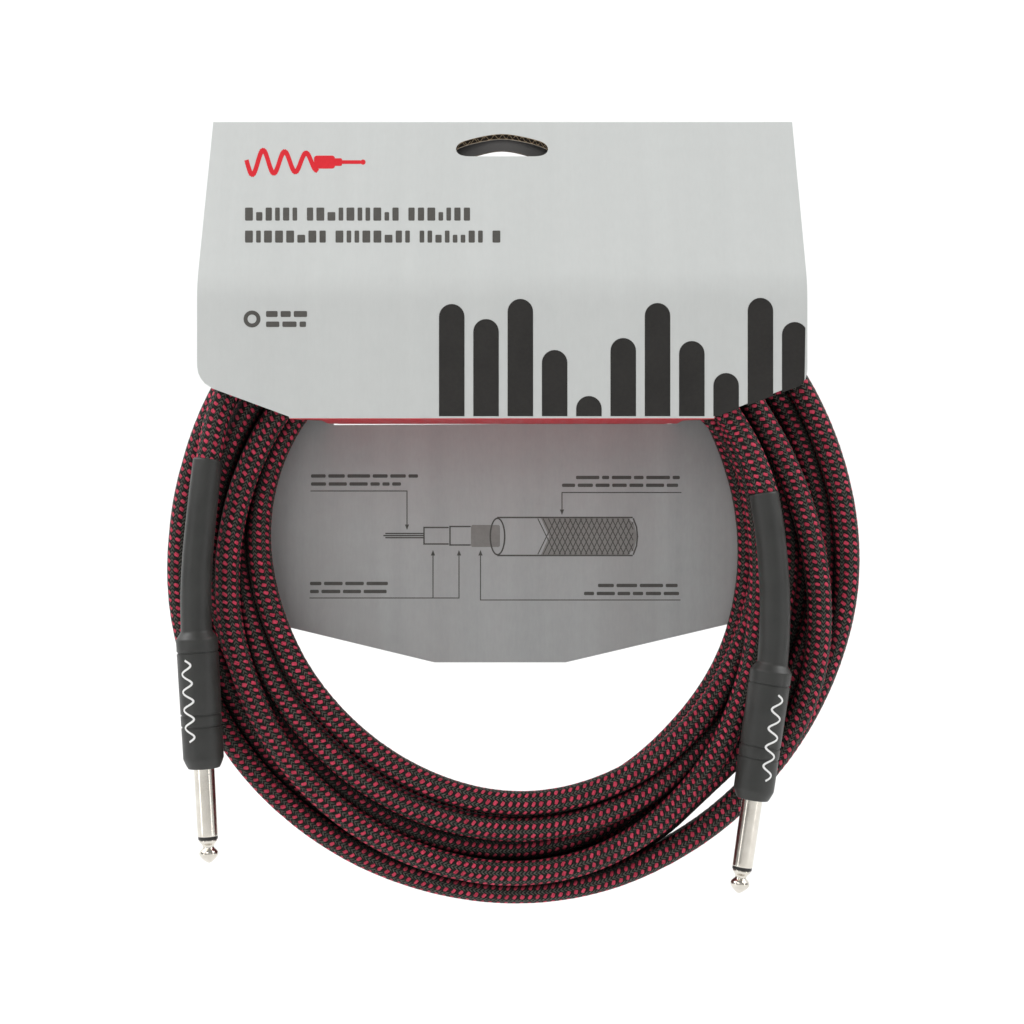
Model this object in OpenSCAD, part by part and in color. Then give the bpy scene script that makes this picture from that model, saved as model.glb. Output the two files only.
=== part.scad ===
// Instrument cable with two straight moulded phone plugs, wound into a round
// coil and held in a folded hang card. Millimetres. +Z up, +X to the right,
// -Y towards the front. The origin is where the axis of a display peg crosses
// the back face of the card, just under the top edge of the hang hole.

/* [Cable] */
// Outer diameter of the cable over its woven sleeve
cable_d = 8.0; // [7.6:0.1:8.1]
// Diameter of the plastic jacket under the woven sleeve
jacket_d = 6.2; // [5.8:0.1:6.4]
// Diameter of the insulated core
core_d = 2.2; // [2.0:0.1:2.4]
// Diameter of the stranded conductor
wire_d = 0.8; // [0.6:0.05:0.9]
// Mean radius of the coil
coil_mean_r = 92.2; // [92:0.1:93]
// Width of the wound bundle, across the turns
coil_w = 35.4; // [33:0.2:35.6]
// Depth of the wound bundle, front to back
coil_depth = 21.6; // [20:0.2:21.8]

/* [Plug] */
// Diameter of the plug's sleeve
sleeve_d = 6.35; // [6.30:0.01:6.35]
// Length of the bare sleeve, from the moulding's nose to the insulator
sleeve_len = 21.3; // [20:0.1:22]
// Thickness of the visible insulating ring
ring_t = 1.0; // [0.8:0.1:1.6]
// Length of the tip contact
tip_len = 7.4; // [7:0.1:7.6]
// Diameter of the plug body at its cable end
body_d = 13.0; // [12.8:0.1:13.2]
// Diameter of the plug body at its nose
nose_d = 12.6; // [12.4:0.1:12.8]
// Length of the plug body, nose to shoulder
body_len = 42.5; // [42:0.1:43]
// Outer diameter of the bend relief where it meets the body
neck_d = 9.6; // [9.4:0.1:9.8]
// Outer diameter of the bend relief at its cable end
neck_end_d = 9.1; // [9.0:0.1:9.3]

/* [Card] */
// Thickness of the corrugated board
board_t = 1.6; // [1.4:0.1:1.6]
// Width of the card
card_w = 189.8; // [188:0.2:192]
// Width of the hang hole
hang_w = 30.8; // [28:0.2:32]
// Width of the tab that goes into the slot
tab_w = 108; // [100:1:109]

/* [Hidden] */

// fold lines of the card, as [y, z] of the middle of the board
fold_top = [-0.8, 12.4];
fold_mid = [-32.2, -44.3];
fold_low = [-32.2, -85.1];
fold_gap = 0.3;
slot_w = 111;
slot_z = [-87.6, -83.9];
slope = atan2(fold_mid[0] - fold_top[0], fold_top[1] - fold_mid[1]);
upper_len = norm(fold_mid - fold_top);

// centre of the coil
coil_c = [2.4, -12.7, -130.2];

// nose centre of each plug and its lean about the Y axis
nose = [[-93.1, -30.4, -194.7], [78.1, -30.4, -204.4]];
lean = [-3.2, 8.4];

// route of each cable end, from inside the plug body to inside the coil
route_a = [
  [-95.2, -30.4, -157.8], [-95.5, -30.4, -152.3], [-95.7, -30.3, -142],
  [-95.3, -30.0, -130], [-94.3, -29.6, -118], [-93.3, -29.1, -108],
  [-92.3, -28.6, -98.9], [-91.0, -28.0, -90], [-89.1, -26.8, -78.2],
  [-85.0, -25.6, -69.5], [-78.6, -24.2, -62.2], [-65.6, -21, -49.2],
  [-50.5, -19, -38.6]
];
route_b = [
  [83.5, -30.4, -167.8], [84.3, -30.4, -162.4], [85.0, -30.4, -154],
  [85.2, -30.3, -143], [84.7, -30.0, -132], [83.7, -29.5, -121],
  [82.0, -28.9, -109.5], [79.2, -28.2, -100], [73.2, -27.2, -87.4],
  [66.0, -25.4, -76.8], [55.8, -22.5, -66.6], [43.9, -20, -58.3],
  [33.5, -19, -53.2]
];

function unit(v) = v / norm(v);
function heading(p, i) =
  i == 0 ? unit(p[1] - p[0]) :
  i == len(p) - 1 ? unit(p[i] - p[i - 1]) : unit(p[i + 1] - p[i - 1]);
function loop_at(c, d, r, n) =
  let(s = unit(cross(d, [0, 1, 0])), t = cross(s, d))
  [for (k = [0:n - 1]) c + r * (cos(360 * k / n) * s + sin(360 * k / n) * t)];
function quads(rings, n) =
  [for (i = [0:rings - 2]) for (k = [0:n - 1])
    [i * n + k, i * n + (k + 1) % n, (i + 1) * n + (k + 1) % n, (i + 1) * n + k]];

// solid tube along points p, radius going from r0 to r1, with n sides
module sweep(p, r0, r1, n) {
  m = len(p);
  pts = [for (i = [0:m - 1])
    each loop_at(p[i], heading(p, i), r0 + (r1 - r0) * i / (m - 1), n)];
  polyhedron(
    points = pts,
    faces = concat(
      [[for (k = [n - 1:-1:0]) k]],
      [[for (k = [0:n - 1]) (m - 1) * n + k]],
      quads(m, n)),
    convexity = 4);
}
function part_of(p, a, b) = [for (i = [a:b]) p[i]];

module at_plug(i) translate(nose[i]) rotate([0, lean[i], 0]) children();
module bar(a, b, r) {
  d = b - a;
  translate(a) rotate([0, acos(d[2] / norm(d)), atan2(d[1], d[0])])
    cylinder(h = norm(d), r = r, $fn = 32);
}

// ---------------------------------------------------------------- hang card

// board lying in the XZ plane: shape is drawn as x, z, thickness along +Y
module board(y0) translate([0, y0 + board_t, 0]) rotate([90, 0, 0])
  linear_extrude(board_t) children();

// peaked hang hole, centred on its own middle
module hang_hole() {
  w = hang_w / 2;
  polygon([[-w + 2.2, -4.2], [w - 2.2, -4.2], [w - 1.4, 0.1], [0, 4.2], [-w + 1.4, 0.1]]);
  translate([-w + 2.2, -2.0]) circle(r = 2.2, $fn = 48);
  translate([w - 2.2, -2.0]) circle(r = 2.2, $fn = 48);
}

module card_back_panel() color([0.60, 0.61, 0.60]) {
  h = card_w / 2;
  difference() {
    board(-board_t) polygon([
      [-h, fold_top[1]], [h, fold_top[1]], [h, -146.6],
      [23.8, -164.1], [-23.8, -164.1], [-h, -146.6]]);
    translate([0, -5, -1.35]) rotate([-90, 0, 0]) linear_extrude(10)
      mirror([0, 1]) hang_hole();
    translate([-slot_w / 2, -5, slot_z[0]]) cube([slot_w, 10, slot_z[1] - slot_z[0]]);
  }
  translate([-h, fold_top[0], fold_top[1]]) rotate([0, 90, 0])
    cylinder(h = card_w, r = board_t / 2, $fn = 48);
}

module card_front_upper() color([0.80, 0.81, 0.80]) {
  h = card_w / 2;
  g = board_t / 2 + fold_gap;
  // drawn hanging straight down from the fold line, then leaned forwards
  translate([0, fold_top[0], fold_top[1]]) rotate([slope, 0, 0]) {
    difference() {
      translate([-h, -board_t / 2, -upper_len]) cube([card_w, board_t, upper_len - g]);
      translate([0, -5, -10.3]) rotate([-90, 0, 0]) linear_extrude(10)
        mirror([0, 1]) hang_hole();
      // bevelled where it would meet the back panel
      rotate([-slope, 0, 0]) translate([-h - 1, -board_t / 2 - fold_gap, -8])
        cube([card_w + 2, 6, 10]);
    }
    translate([-h, 0, -upper_len]) rotate([0, 90, 0])
      cylinder(h = card_w, r = board_t / 2, $fn = 48);
  }
}

module card_front_lower() color([0.80, 0.81, 0.80]) {
  h = card_w / 2;
  top = fold_mid[1] - board_t / 2 - fold_gap;
  difference() {
    board(fold_mid[0] - board_t / 2) polygon([
      [-h, top], [h, top], [h, -73.2], [66, fold_low[1]], [-66, fold_low[1]],
      [-h, -73.2]]);
    // the left corner is well rounded, the right one hardly
    translate([-h, 0, -73.2]) rotate([90, 0, 0]) translate([0, 0, 20])
      linear_extrude(30) difference() {
        polygon([[-1, 6], [0, 6], [9, -6], [3, -6], [-1, -2]]);
        translate([11, 6]) circle(r = 11, $fn = 64);
      }
  }
  translate([-66, fold_low[0], fold_low[1]]) rotate([0, 90, 0])
    cylinder(h = 132, r = board_t / 2, $fn = 48);
}

module card_tuck_flap() color([0.72, 0.12, 0.14]) {
  y0 = fold_low[0] + board_t / 2 + fold_gap;
  translate([0, 0, fold_low[1] - board_t / 2]) linear_extrude(board_t) polygon([
    [-65, y0], [65, y0], [58, -25.5], [55, -24], [55, -2.2],
    [tab_w / 2, -2.2], [tab_w / 2 - 1, -0.3], [-tab_w / 2 + 1, -0.3], [-tab_w / 2, -2.2],
    [-55, -2.2], [-55, -24], [-58, -25.5]]);
}

// -------------------------------------------------------------------- cable

// closed outer shape of all the turns, pressed flat where the card leans on it
module cable_coil() color([0.30, 0.10, 0.12]) {
  w = coil_w / 2;
  d = coil_depth / 2;
  r = 4;
  difference() {
    translate(coil_c) rotate([90, 0, 0]) rotate_extrude($fn = 180)
      translate([coil_mean_r, 0]) union() {
        square([coil_w, coil_depth - 2 * r], center = true);
        square([coil_w - 2 * r, coil_depth], center = true);
        for (x = [-1, 1]) for (y = [-1, 1])
          translate([x * (w - r), y * (d - r)]) circle(r = r, $fn = 48);
      }
    translate([0, fold_top[0], fold_top[1]]) rotate([slope, 0, 0])
      translate([-90, -40, -64]) cube([180, 40 + board_t / 2 + 0.5, 50]);
  }
}

module lead(p) color([0.30, 0.10, 0.12]) sweep(p, cable_d / 2, cable_d / 2, 12);

// --------------------------------------------------------------------- plug

// tip: rounded cone, waist and collar in one turned piece with its long rod
module tip_contact() color([0.82, 0.80, 0.76]) {
  z0 = -sleeve_len - ring_t;
  s = tip_len / 7.4;
  rotate_extrude($fn = 96) polygon([
    [0, z0 - 7.4 * s], [0.5, z0 - 7.3 * s], [0.95, z0 - 6.95 * s], [2.75, z0 - 5.4 * s],
    [2.97, z0 - 5.05 * s], [2.97, z0 - 4.75 * s], [2.75, z0 - 4.45 * s], [1.65, z0 - 3.1 * s],
    [1.5, z0 - 2.8 * s], [1.6, z0 - 2.5 * s], [2.5, z0 - 1.0 * s], [2.85, z0 - 0.35 * s],
    [2.85, z0], [1.2, z0], [1.2, 7.25], [1.75, 7.25], [1.75, 7.6], [1.3, 7.95], [0, 7.95]]);
}

module insulator_ring() color([0.10, 0.09, 0.09]) {
  translate([0, 0, -sleeve_len - ring_t]) difference() {
    cylinder(h = ring_t, r = 2.85, $fn = 96);
    translate([0, 0, -1]) cylinder(h = ring_t + 2, r = 2.05, $fn = 64);
  }
}

module insulator_tube() color([0.16, 0.15, 0.15]) {
  translate([0, 0, -sleeve_len - ring_t + 0.05]) difference() {
    cylinder(h = sleeve_len + ring_t + 5.55, r = 2.0, $fn = 64);
    translate([0, 0, -1]) cylinder(h = sleeve_len + ring_t + 8, r = 1.25, $fn = 64);
  }
}

// sleeve contact with the flange that the moulding grips
module sleeve() color([0.82, 0.80, 0.76]) {
  difference() {
    union() {
      translate([0, 0, -sleeve_len]) cylinder(h = sleeve_len, r = sleeve_d / 2, $fn = 96);
      cylinder(h = 2.65, r = 2.7, $fn = 96);
      translate([0, 0, 2.6]) cylinder(h = 1.7, r = 4.0, $fn = 96);
      translate([0, 0, 4.3]) cylinder(h = 1.0, r = 2.6, $fn = 64);
    }
    translate([0, 0, -sleeve_len - 1]) cylinder(h = sleeve_len + 8, r = 2.05, $fn = 64);
  }
}

// stamped ground lug: ring, strip and the two claws that hold the jacket
module ground_lug() color([0.75, 0.66, 0.42]) {
  difference() {
    translate([0, 0, 4.32]) cylinder(h = 0.5, r = 3.95, $fn = 64);
    translate([0, 0, 4]) cylinder(h = 2, r = 2.63, $fn = 64);
  }
  intersection() {
    translate([3.25, -1.4, 4.32]) cube([0.5, 2.8, 20.5]);
    translate([0, 0, 4]) cylinder(h = 22, r = 3.95, $fn = 64);
  }
  difference() {
    translate([0, 0, 24]) cylinder(h = 4, r = 3.7, $fn = 64);
    translate([0, 0, 23]) cylinder(h = 6, r = jacket_d / 2 + 0.05, $fn = 64);
    translate([-5, -1.6, 23]) cube([5, 3.2, 6]);
  }
}

// insulating washer between the ground lug and the tip lug
module rear_washer() color([0.35, 0.20, 0.12]) {
  difference() {
    translate([0, 0, 5.35]) cylinder(h = 1.3, r = 3.6, $fn = 64);
    translate([0, 0, 5]) cylinder(h = 3, r = 2.03, $fn = 64);
    translate([3.2, -2, 5]) cube([2, 4, 3]);
  }
}

// stamped solder lug riveted under the end of the tip rod
module tip_lug() color([0.75, 0.66, 0.42]) {
  difference() {
    translate([0, 0, 6.68]) cylinder(h = 0.5, r = 2.4, $fn = 64);
    translate([0, 0, 6]) cylinder(h = 3, r = 1.25, $fn = 64);
  }
  translate([-2.4, -0.9, 6.68]) cube([0.5, 1.8, 2.32]);
  translate([-2.4, -0.9, 8.5]) cube([1.95, 1.8, 0.5]);
  translate([-0.95, -0.9, 8.5]) cube([0.5, 1.8, 7]);
}

module conductor() color([0.80, 0.45, 0.25])
  translate([0, 0, 11]) cylinder(h = 25.9, r = wire_d / 2, $fn = 32);

module core_insulation() color([0.92, 0.91, 0.86])
  translate([0, 0, 19]) difference() {
    cylinder(h = 17.9, r = core_d / 2, $fn = 48);
    translate([0, 0, -1]) cylinder(h = 20, r = wire_d / 2 + 0.03, $fn = 32);
  }

// second, conductive layer of plastic over the core
module core_screen() color([0.14, 0.14, 0.15])
  translate([0, 0, 21.3]) difference() {
    cylinder(h = 15.6, r = core_d / 2 + 0.38, $fn = 48);
    translate([0, 0, -1]) cylinder(h = 18, r = core_d / 2 + 0.03, $fn = 48);
  }

// spirally wound shield, its wires gathered into a tail soldered to the lug
module shield() color([0.80, 0.45, 0.25]) {
  r = core_d / 2 + 0.41;
  difference() {
    union() {
      translate([0, 0, 22.4]) cylinder(h = 14.5, r = r + 0.34, $fn = 48);
      bar([1.75, 0, 22.85], [2.55, 0, 20.8], 0.45);
      translate([2.55, 0, 20.8]) sphere(r = 0.45, $fn = 32);
      translate([2.55, 0, 17.5]) cylinder(h = 3.3, r = 0.44, $fn = 32);
    }
    translate([0, 0, 20]) cylinder(h = 18, r = r, $fn = 48);
  }
}

module jacket_end() color([0.09, 0.09, 0.09])
  translate([0, 0, 23.6]) difference() {
    cylinder(h = 13.3, r = jacket_d / 2, $fn = 64);
    translate([0, 0, -1]) cylinder(h = 16, r = core_d / 2 + 0.78, $fn = 48);
  }

// the two solder joints
module tip_solder() color([0.70, 0.71, 0.72]) difference() {
  translate([0, 0, 13]) rotate_extrude($fn = 48) polygon([
    [wire_d / 2 + 0.03, -1.1], [0.6, -1.0], [0.9, -0.5], [0.9, 0.5], [0.6, 1.0],
    [wire_d / 2 + 0.03, 1.1]]);
  translate([-3.42, -2, 11]) cube([3, 4, 4]);
}
module ground_solder() color([0.70, 0.71, 0.72]) difference() {
  translate([2.6, 0, 18.4]) sphere(r = 1.05, $fn = 48);
  translate([3.23, -2, 16]) cube([2, 4, 5]);
  translate([2.55, 0, 16]) cylinder(h = 5, r = 0.48, $fn = 32);
}

// hard inner moulding that encloses the terminals and the end of the cable
module inner_mould() color([0.20, 0.20, 0.20]) {
  difference() {
    translate([0, 0, 2.55]) cylinder(h = 33.3, r = 4.75, $fn = 96);
    translate([0, 0, 2]) cylinder(h = 2.34, r = 4.03, $fn = 96);
    translate([0, 0, 4.3]) cylinder(h = 24, r = 3.98, $fn = 64);
    translate([0, 0, 28]) cylinder(h = 10, r = jacket_d / 2 + 0.04, $fn = 64);
  }
}

// soft outer moulding: ringed body with a chamfered nose, and the bend relief
module boot(i, p) {
  rn = nose_d / 2;
  rb = body_d / 2;
  n = body_len;
  function side(z) = rn + (rb - rn) * (z - 3.3) / (n - 5.6);
  function groove(z) = [
    [side(z - 0.3), z - 0.3], [side(z) - 0.28, z - 0.14],
    [side(z) - 0.28, z + 0.14], [side(z + 0.3), z + 0.3]];
  color([0.18, 0.18, 0.18]) difference() {
    union() {
      at_plug(i) rotate_extrude($fn = 120) polygon([
        [0, 0], [4.9, 0], [5.15, 0.35], [6.1, 2.6], [rn, 3.3],
        each groove(n - 29.4), each groove(n - 25.7), each groove(n - 6.2),
        [rb, n - 2.3], [rb - 0.25, n - 1.8], [neck_d / 2 + 0.35, n - 0.2], [neck_d / 2, n + 0.5], [0, n + 0.5]]);
      sweep(concat([p[0]], part_of(p, 1, 6)), neck_d / 2, neck_end_d / 2, 40);
    }
    at_plug(i) {
      translate([0, 0, -1]) cylinder(h = 5, r = 2.73, $fn = 96);
      translate([0, 0, 2.53]) cylinder(h = 33.35, r = 4.78, $fn = 96);
      translate([0, 0, 30]) cylinder(h = 7, r = cable_d / 2 + 0.05, $fn = 64);
    }
    sweep(concat([p[0] + 0.4 * (p[0] - p[1])], part_of(p, 1, 5), [p[6] + 0.3 * (p[6] - p[5])]),
      cable_d / 2 + 0.06, cable_d / 2 + 0.06, 24);
  }
}

// ------------------------------------------------------------------- output

card_back_panel();
card_front_upper();
card_front_lower();
card_tuck_flap();
cable_coil();

lead(route_a);  // plug_a_lead
boot(0, route_a);  // plug_a_boot
at_plug(0) inner_mould();  // plug_a_inner_mould
at_plug(0) sleeve();  // plug_a_sleeve
at_plug(0) insulator_ring();  // plug_a_insulator_ring
at_plug(0) insulator_tube();  // plug_a_insulator_tube
at_plug(0) tip_contact();  // plug_a_tip_contact
at_plug(0) ground_lug();  // plug_a_ground_lug
at_plug(0) rear_washer();  // plug_a_rear_washer
at_plug(0) tip_lug();  // plug_a_tip_lug
at_plug(0) jacket_end();  // plug_a_jacket_end
at_plug(0) shield();  // plug_a_shield
at_plug(0) core_insulation();  // plug_a_core_insulation
at_plug(0) conductor();  // plug_a_conductor
at_plug(0) core_screen();  // plug_a_core_screen
at_plug(0) tip_solder();  // plug_a_tip_solder
at_plug(0) ground_solder();  // plug_a_ground_solder

lead(route_b);  // plug_b_lead
boot(1, route_b);  // plug_b_boot
at_plug(1) inner_mould();  // plug_b_inner_mould
at_plug(1) sleeve();  // plug_b_sleeve
at_plug(1) insulator_ring();  // plug_b_insulator_ring
at_plug(1) insulator_tube();  // plug_b_insulator_tube
at_plug(1) tip_contact();  // plug_b_tip_contact
at_plug(1) ground_lug();  // plug_b_ground_lug
at_plug(1) rear_washer();  // plug_b_rear_washer
at_plug(1) tip_lug();  // plug_b_tip_lug
at_plug(1) jacket_end();  // plug_b_jacket_end
at_plug(1) shield();  // plug_b_shield
at_plug(1) core_insulation();  // plug_b_core_insulation
at_plug(1) conductor();  // plug_b_conductor
at_plug(1) core_screen();  // plug_b_core_screen
at_plug(1) tip_solder();  // plug_b_tip_solder
at_plug(1) ground_solder();  // plug_b_ground_solder
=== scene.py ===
import bpy, bmesh, math, random
import numpy as np
from mathutils import Vector, Matrix
from mathutils.geometry import delaunay_2d_cdt
from mathutils.kdtree import KDTree


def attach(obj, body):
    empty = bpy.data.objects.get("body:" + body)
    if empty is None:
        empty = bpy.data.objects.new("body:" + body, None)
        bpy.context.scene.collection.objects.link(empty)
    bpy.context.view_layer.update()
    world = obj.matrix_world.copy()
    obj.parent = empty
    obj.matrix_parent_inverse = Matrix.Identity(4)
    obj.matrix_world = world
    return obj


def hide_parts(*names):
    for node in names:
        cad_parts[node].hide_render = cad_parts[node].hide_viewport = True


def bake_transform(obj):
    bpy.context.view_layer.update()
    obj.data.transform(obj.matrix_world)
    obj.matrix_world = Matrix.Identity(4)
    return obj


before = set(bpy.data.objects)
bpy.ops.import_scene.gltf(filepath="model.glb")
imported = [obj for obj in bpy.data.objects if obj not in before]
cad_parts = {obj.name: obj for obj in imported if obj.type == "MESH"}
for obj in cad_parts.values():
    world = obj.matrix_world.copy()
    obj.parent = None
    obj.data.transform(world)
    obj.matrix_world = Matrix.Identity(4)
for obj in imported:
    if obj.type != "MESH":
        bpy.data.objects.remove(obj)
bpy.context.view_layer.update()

MM = 0.001
ROOT, UPPER, LOWER, FLAP = "card_back_and_cable", "front_upper", "front_lower", "tuck_flap"
scene = bpy.context.scene
scene.view_settings.view_transform = "Standard"
random.seed(7)
rng = np.random.default_rng(7)

# ------------------------------------------------------------------ camera
cam_data = bpy.data.cameras.new("camera")
cam_data.sensor_width = 36.0
cam_data.lens = 65.58
cam_data.clip_start, cam_data.clip_end = 0.01, 30
cam = bpy.data.objects.new("camera", cam_data)
scene.collection.objects.link(cam)
CAM = (3.05, -613.0, -114.8)
cam.location = [c * MM for c in CAM]
cam.rotation_euler = (math.radians(90), 0, 0)
scene.camera = cam
FOCAL = 1865.6


def seen_on(px, py, point, normal):
    """Where the line of sight through that point of the view meets a plane, in millimetres."""
    d = np.array([(px - 512) / FOCAL, 1.0, (512 - py) / FOCAL])
    c = np.array(CAM)
    t = np.dot(np.array(point) - c, normal) / np.dot(d, normal)
    return c + d * t


# ------------------------------------------------------------------ node helpers
class Net:
    """Short way to write procedural materials."""

    def __init__(self, name):
        self.mat = bpy.data.materials.new(name)
        self.mat.use_nodes = True
        self.t = self.mat.node_tree
        self.n = self.t.nodes
        self.bsdf = self.n["Principled BSDF"]

    def put(self, socket, value):
        if isinstance(value, bpy.types.NodeSocket):
            self.t.links.new(value, socket)
        else:
            socket.default_value = value

    def m(self, op, a, b=None, c=None, clamp=False):
        n = self.n.new("ShaderNodeMath")
        n.operation = op
        n.use_clamp = clamp
        self.put(n.inputs[0], a)
        if b is not None:
            self.put(n.inputs[1], b)
        if c is not None:
            self.put(n.inputs[2], c)
        return n.outputs[0]

    def uv(self):
        n = self.n.new("ShaderNodeUVMap")
        n.uv_map = "UVMap"
        s = self.n.new("ShaderNodeSeparateXYZ")
        self.t.links.new(n.outputs[0], s.inputs[0])
        return s.outputs[0], s.outputs[1], n.outputs[0]

    def pos(self):
        n = self.n.new("ShaderNodeTexCoord")
        return n.outputs["Object"]

    def scaled(self, v, s):
        n = self.n.new("ShaderNodeMapping")
        self.put(n.inputs["Vector"], v)
        n.inputs["Scale"].default_value = s
        return n.outputs[0]

    def xyz(self, x, y, z=0.0):
        n = self.n.new("ShaderNodeCombineXYZ")
        self.put(n.inputs[0], x)
        self.put(n.inputs[1], y)
        self.put(n.inputs[2], z)
        return n.outputs[0]

    def split(self, v):
        n = self.n.new("ShaderNodeSeparateXYZ")
        self.put(n.inputs[0], v)
        return n.outputs

    def noise(self, v, scale, detail=3.0, rough=0.55):
        n = self.n.new("ShaderNodeTexNoise")
        self.put(n.inputs["Vector"], v)
        n.inputs["Scale"].default_value = scale
        n.inputs["Detail"].default_value = detail
        n.inputs["Roughness"].default_value = rough
        return n.outputs[0]

    def white(self, v):
        n = self.n.new("ShaderNodeTexWhiteNoise")
        n.noise_dimensions = "3D"
        self.put(n.inputs["Vector"], v)
        return n.outputs["Value"]

    def mix(self, f, a, b):
        n = self.n.new("ShaderNodeMix")
        n.data_type = "RGBA"
        self.put(n.inputs["Factor"], f)
        for s, v in ((n.inputs[6], a), (n.inputs[7], b)):
            self.put(s, v if isinstance(v, bpy.types.NodeSocket) else (*v, 1.0))
        return n.outputs[2]

    def rng(self, v, a, b, c=0.0, d=1.0, smooth=False):
        n = self.n.new("ShaderNodeMapRange")
        n.interpolation_type = "SMOOTHSTEP" if smooth else "LINEAR"
        n.clamp = True
        self.put(n.inputs[0], v)
        n.inputs[1].default_value, n.inputs[2].default_value = a, b
        n.inputs[3].default_value, n.inputs[4].default_value = c, d
        return n.outputs[0]

    def bump(self, h, distance, strength=1.0):
        n = self.n.new("ShaderNodeBump")
        self.put(n.inputs["Height"], h)
        n.inputs["Distance"].default_value = distance
        n.inputs["Strength"].default_value = strength
        self.t.links.new(n.outputs[0], self.bsdf.inputs["Normal"])

    def set(self, **kw):
        for k, v in kw.items():
            s = self.bsdf.inputs[k.replace("_", " ")]
            if k == "Base_Color" and not isinstance(v, bpy.types.NodeSocket):
                v = (*v, 1.0)
            self.put(s, v)
        return self.mat


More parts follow.
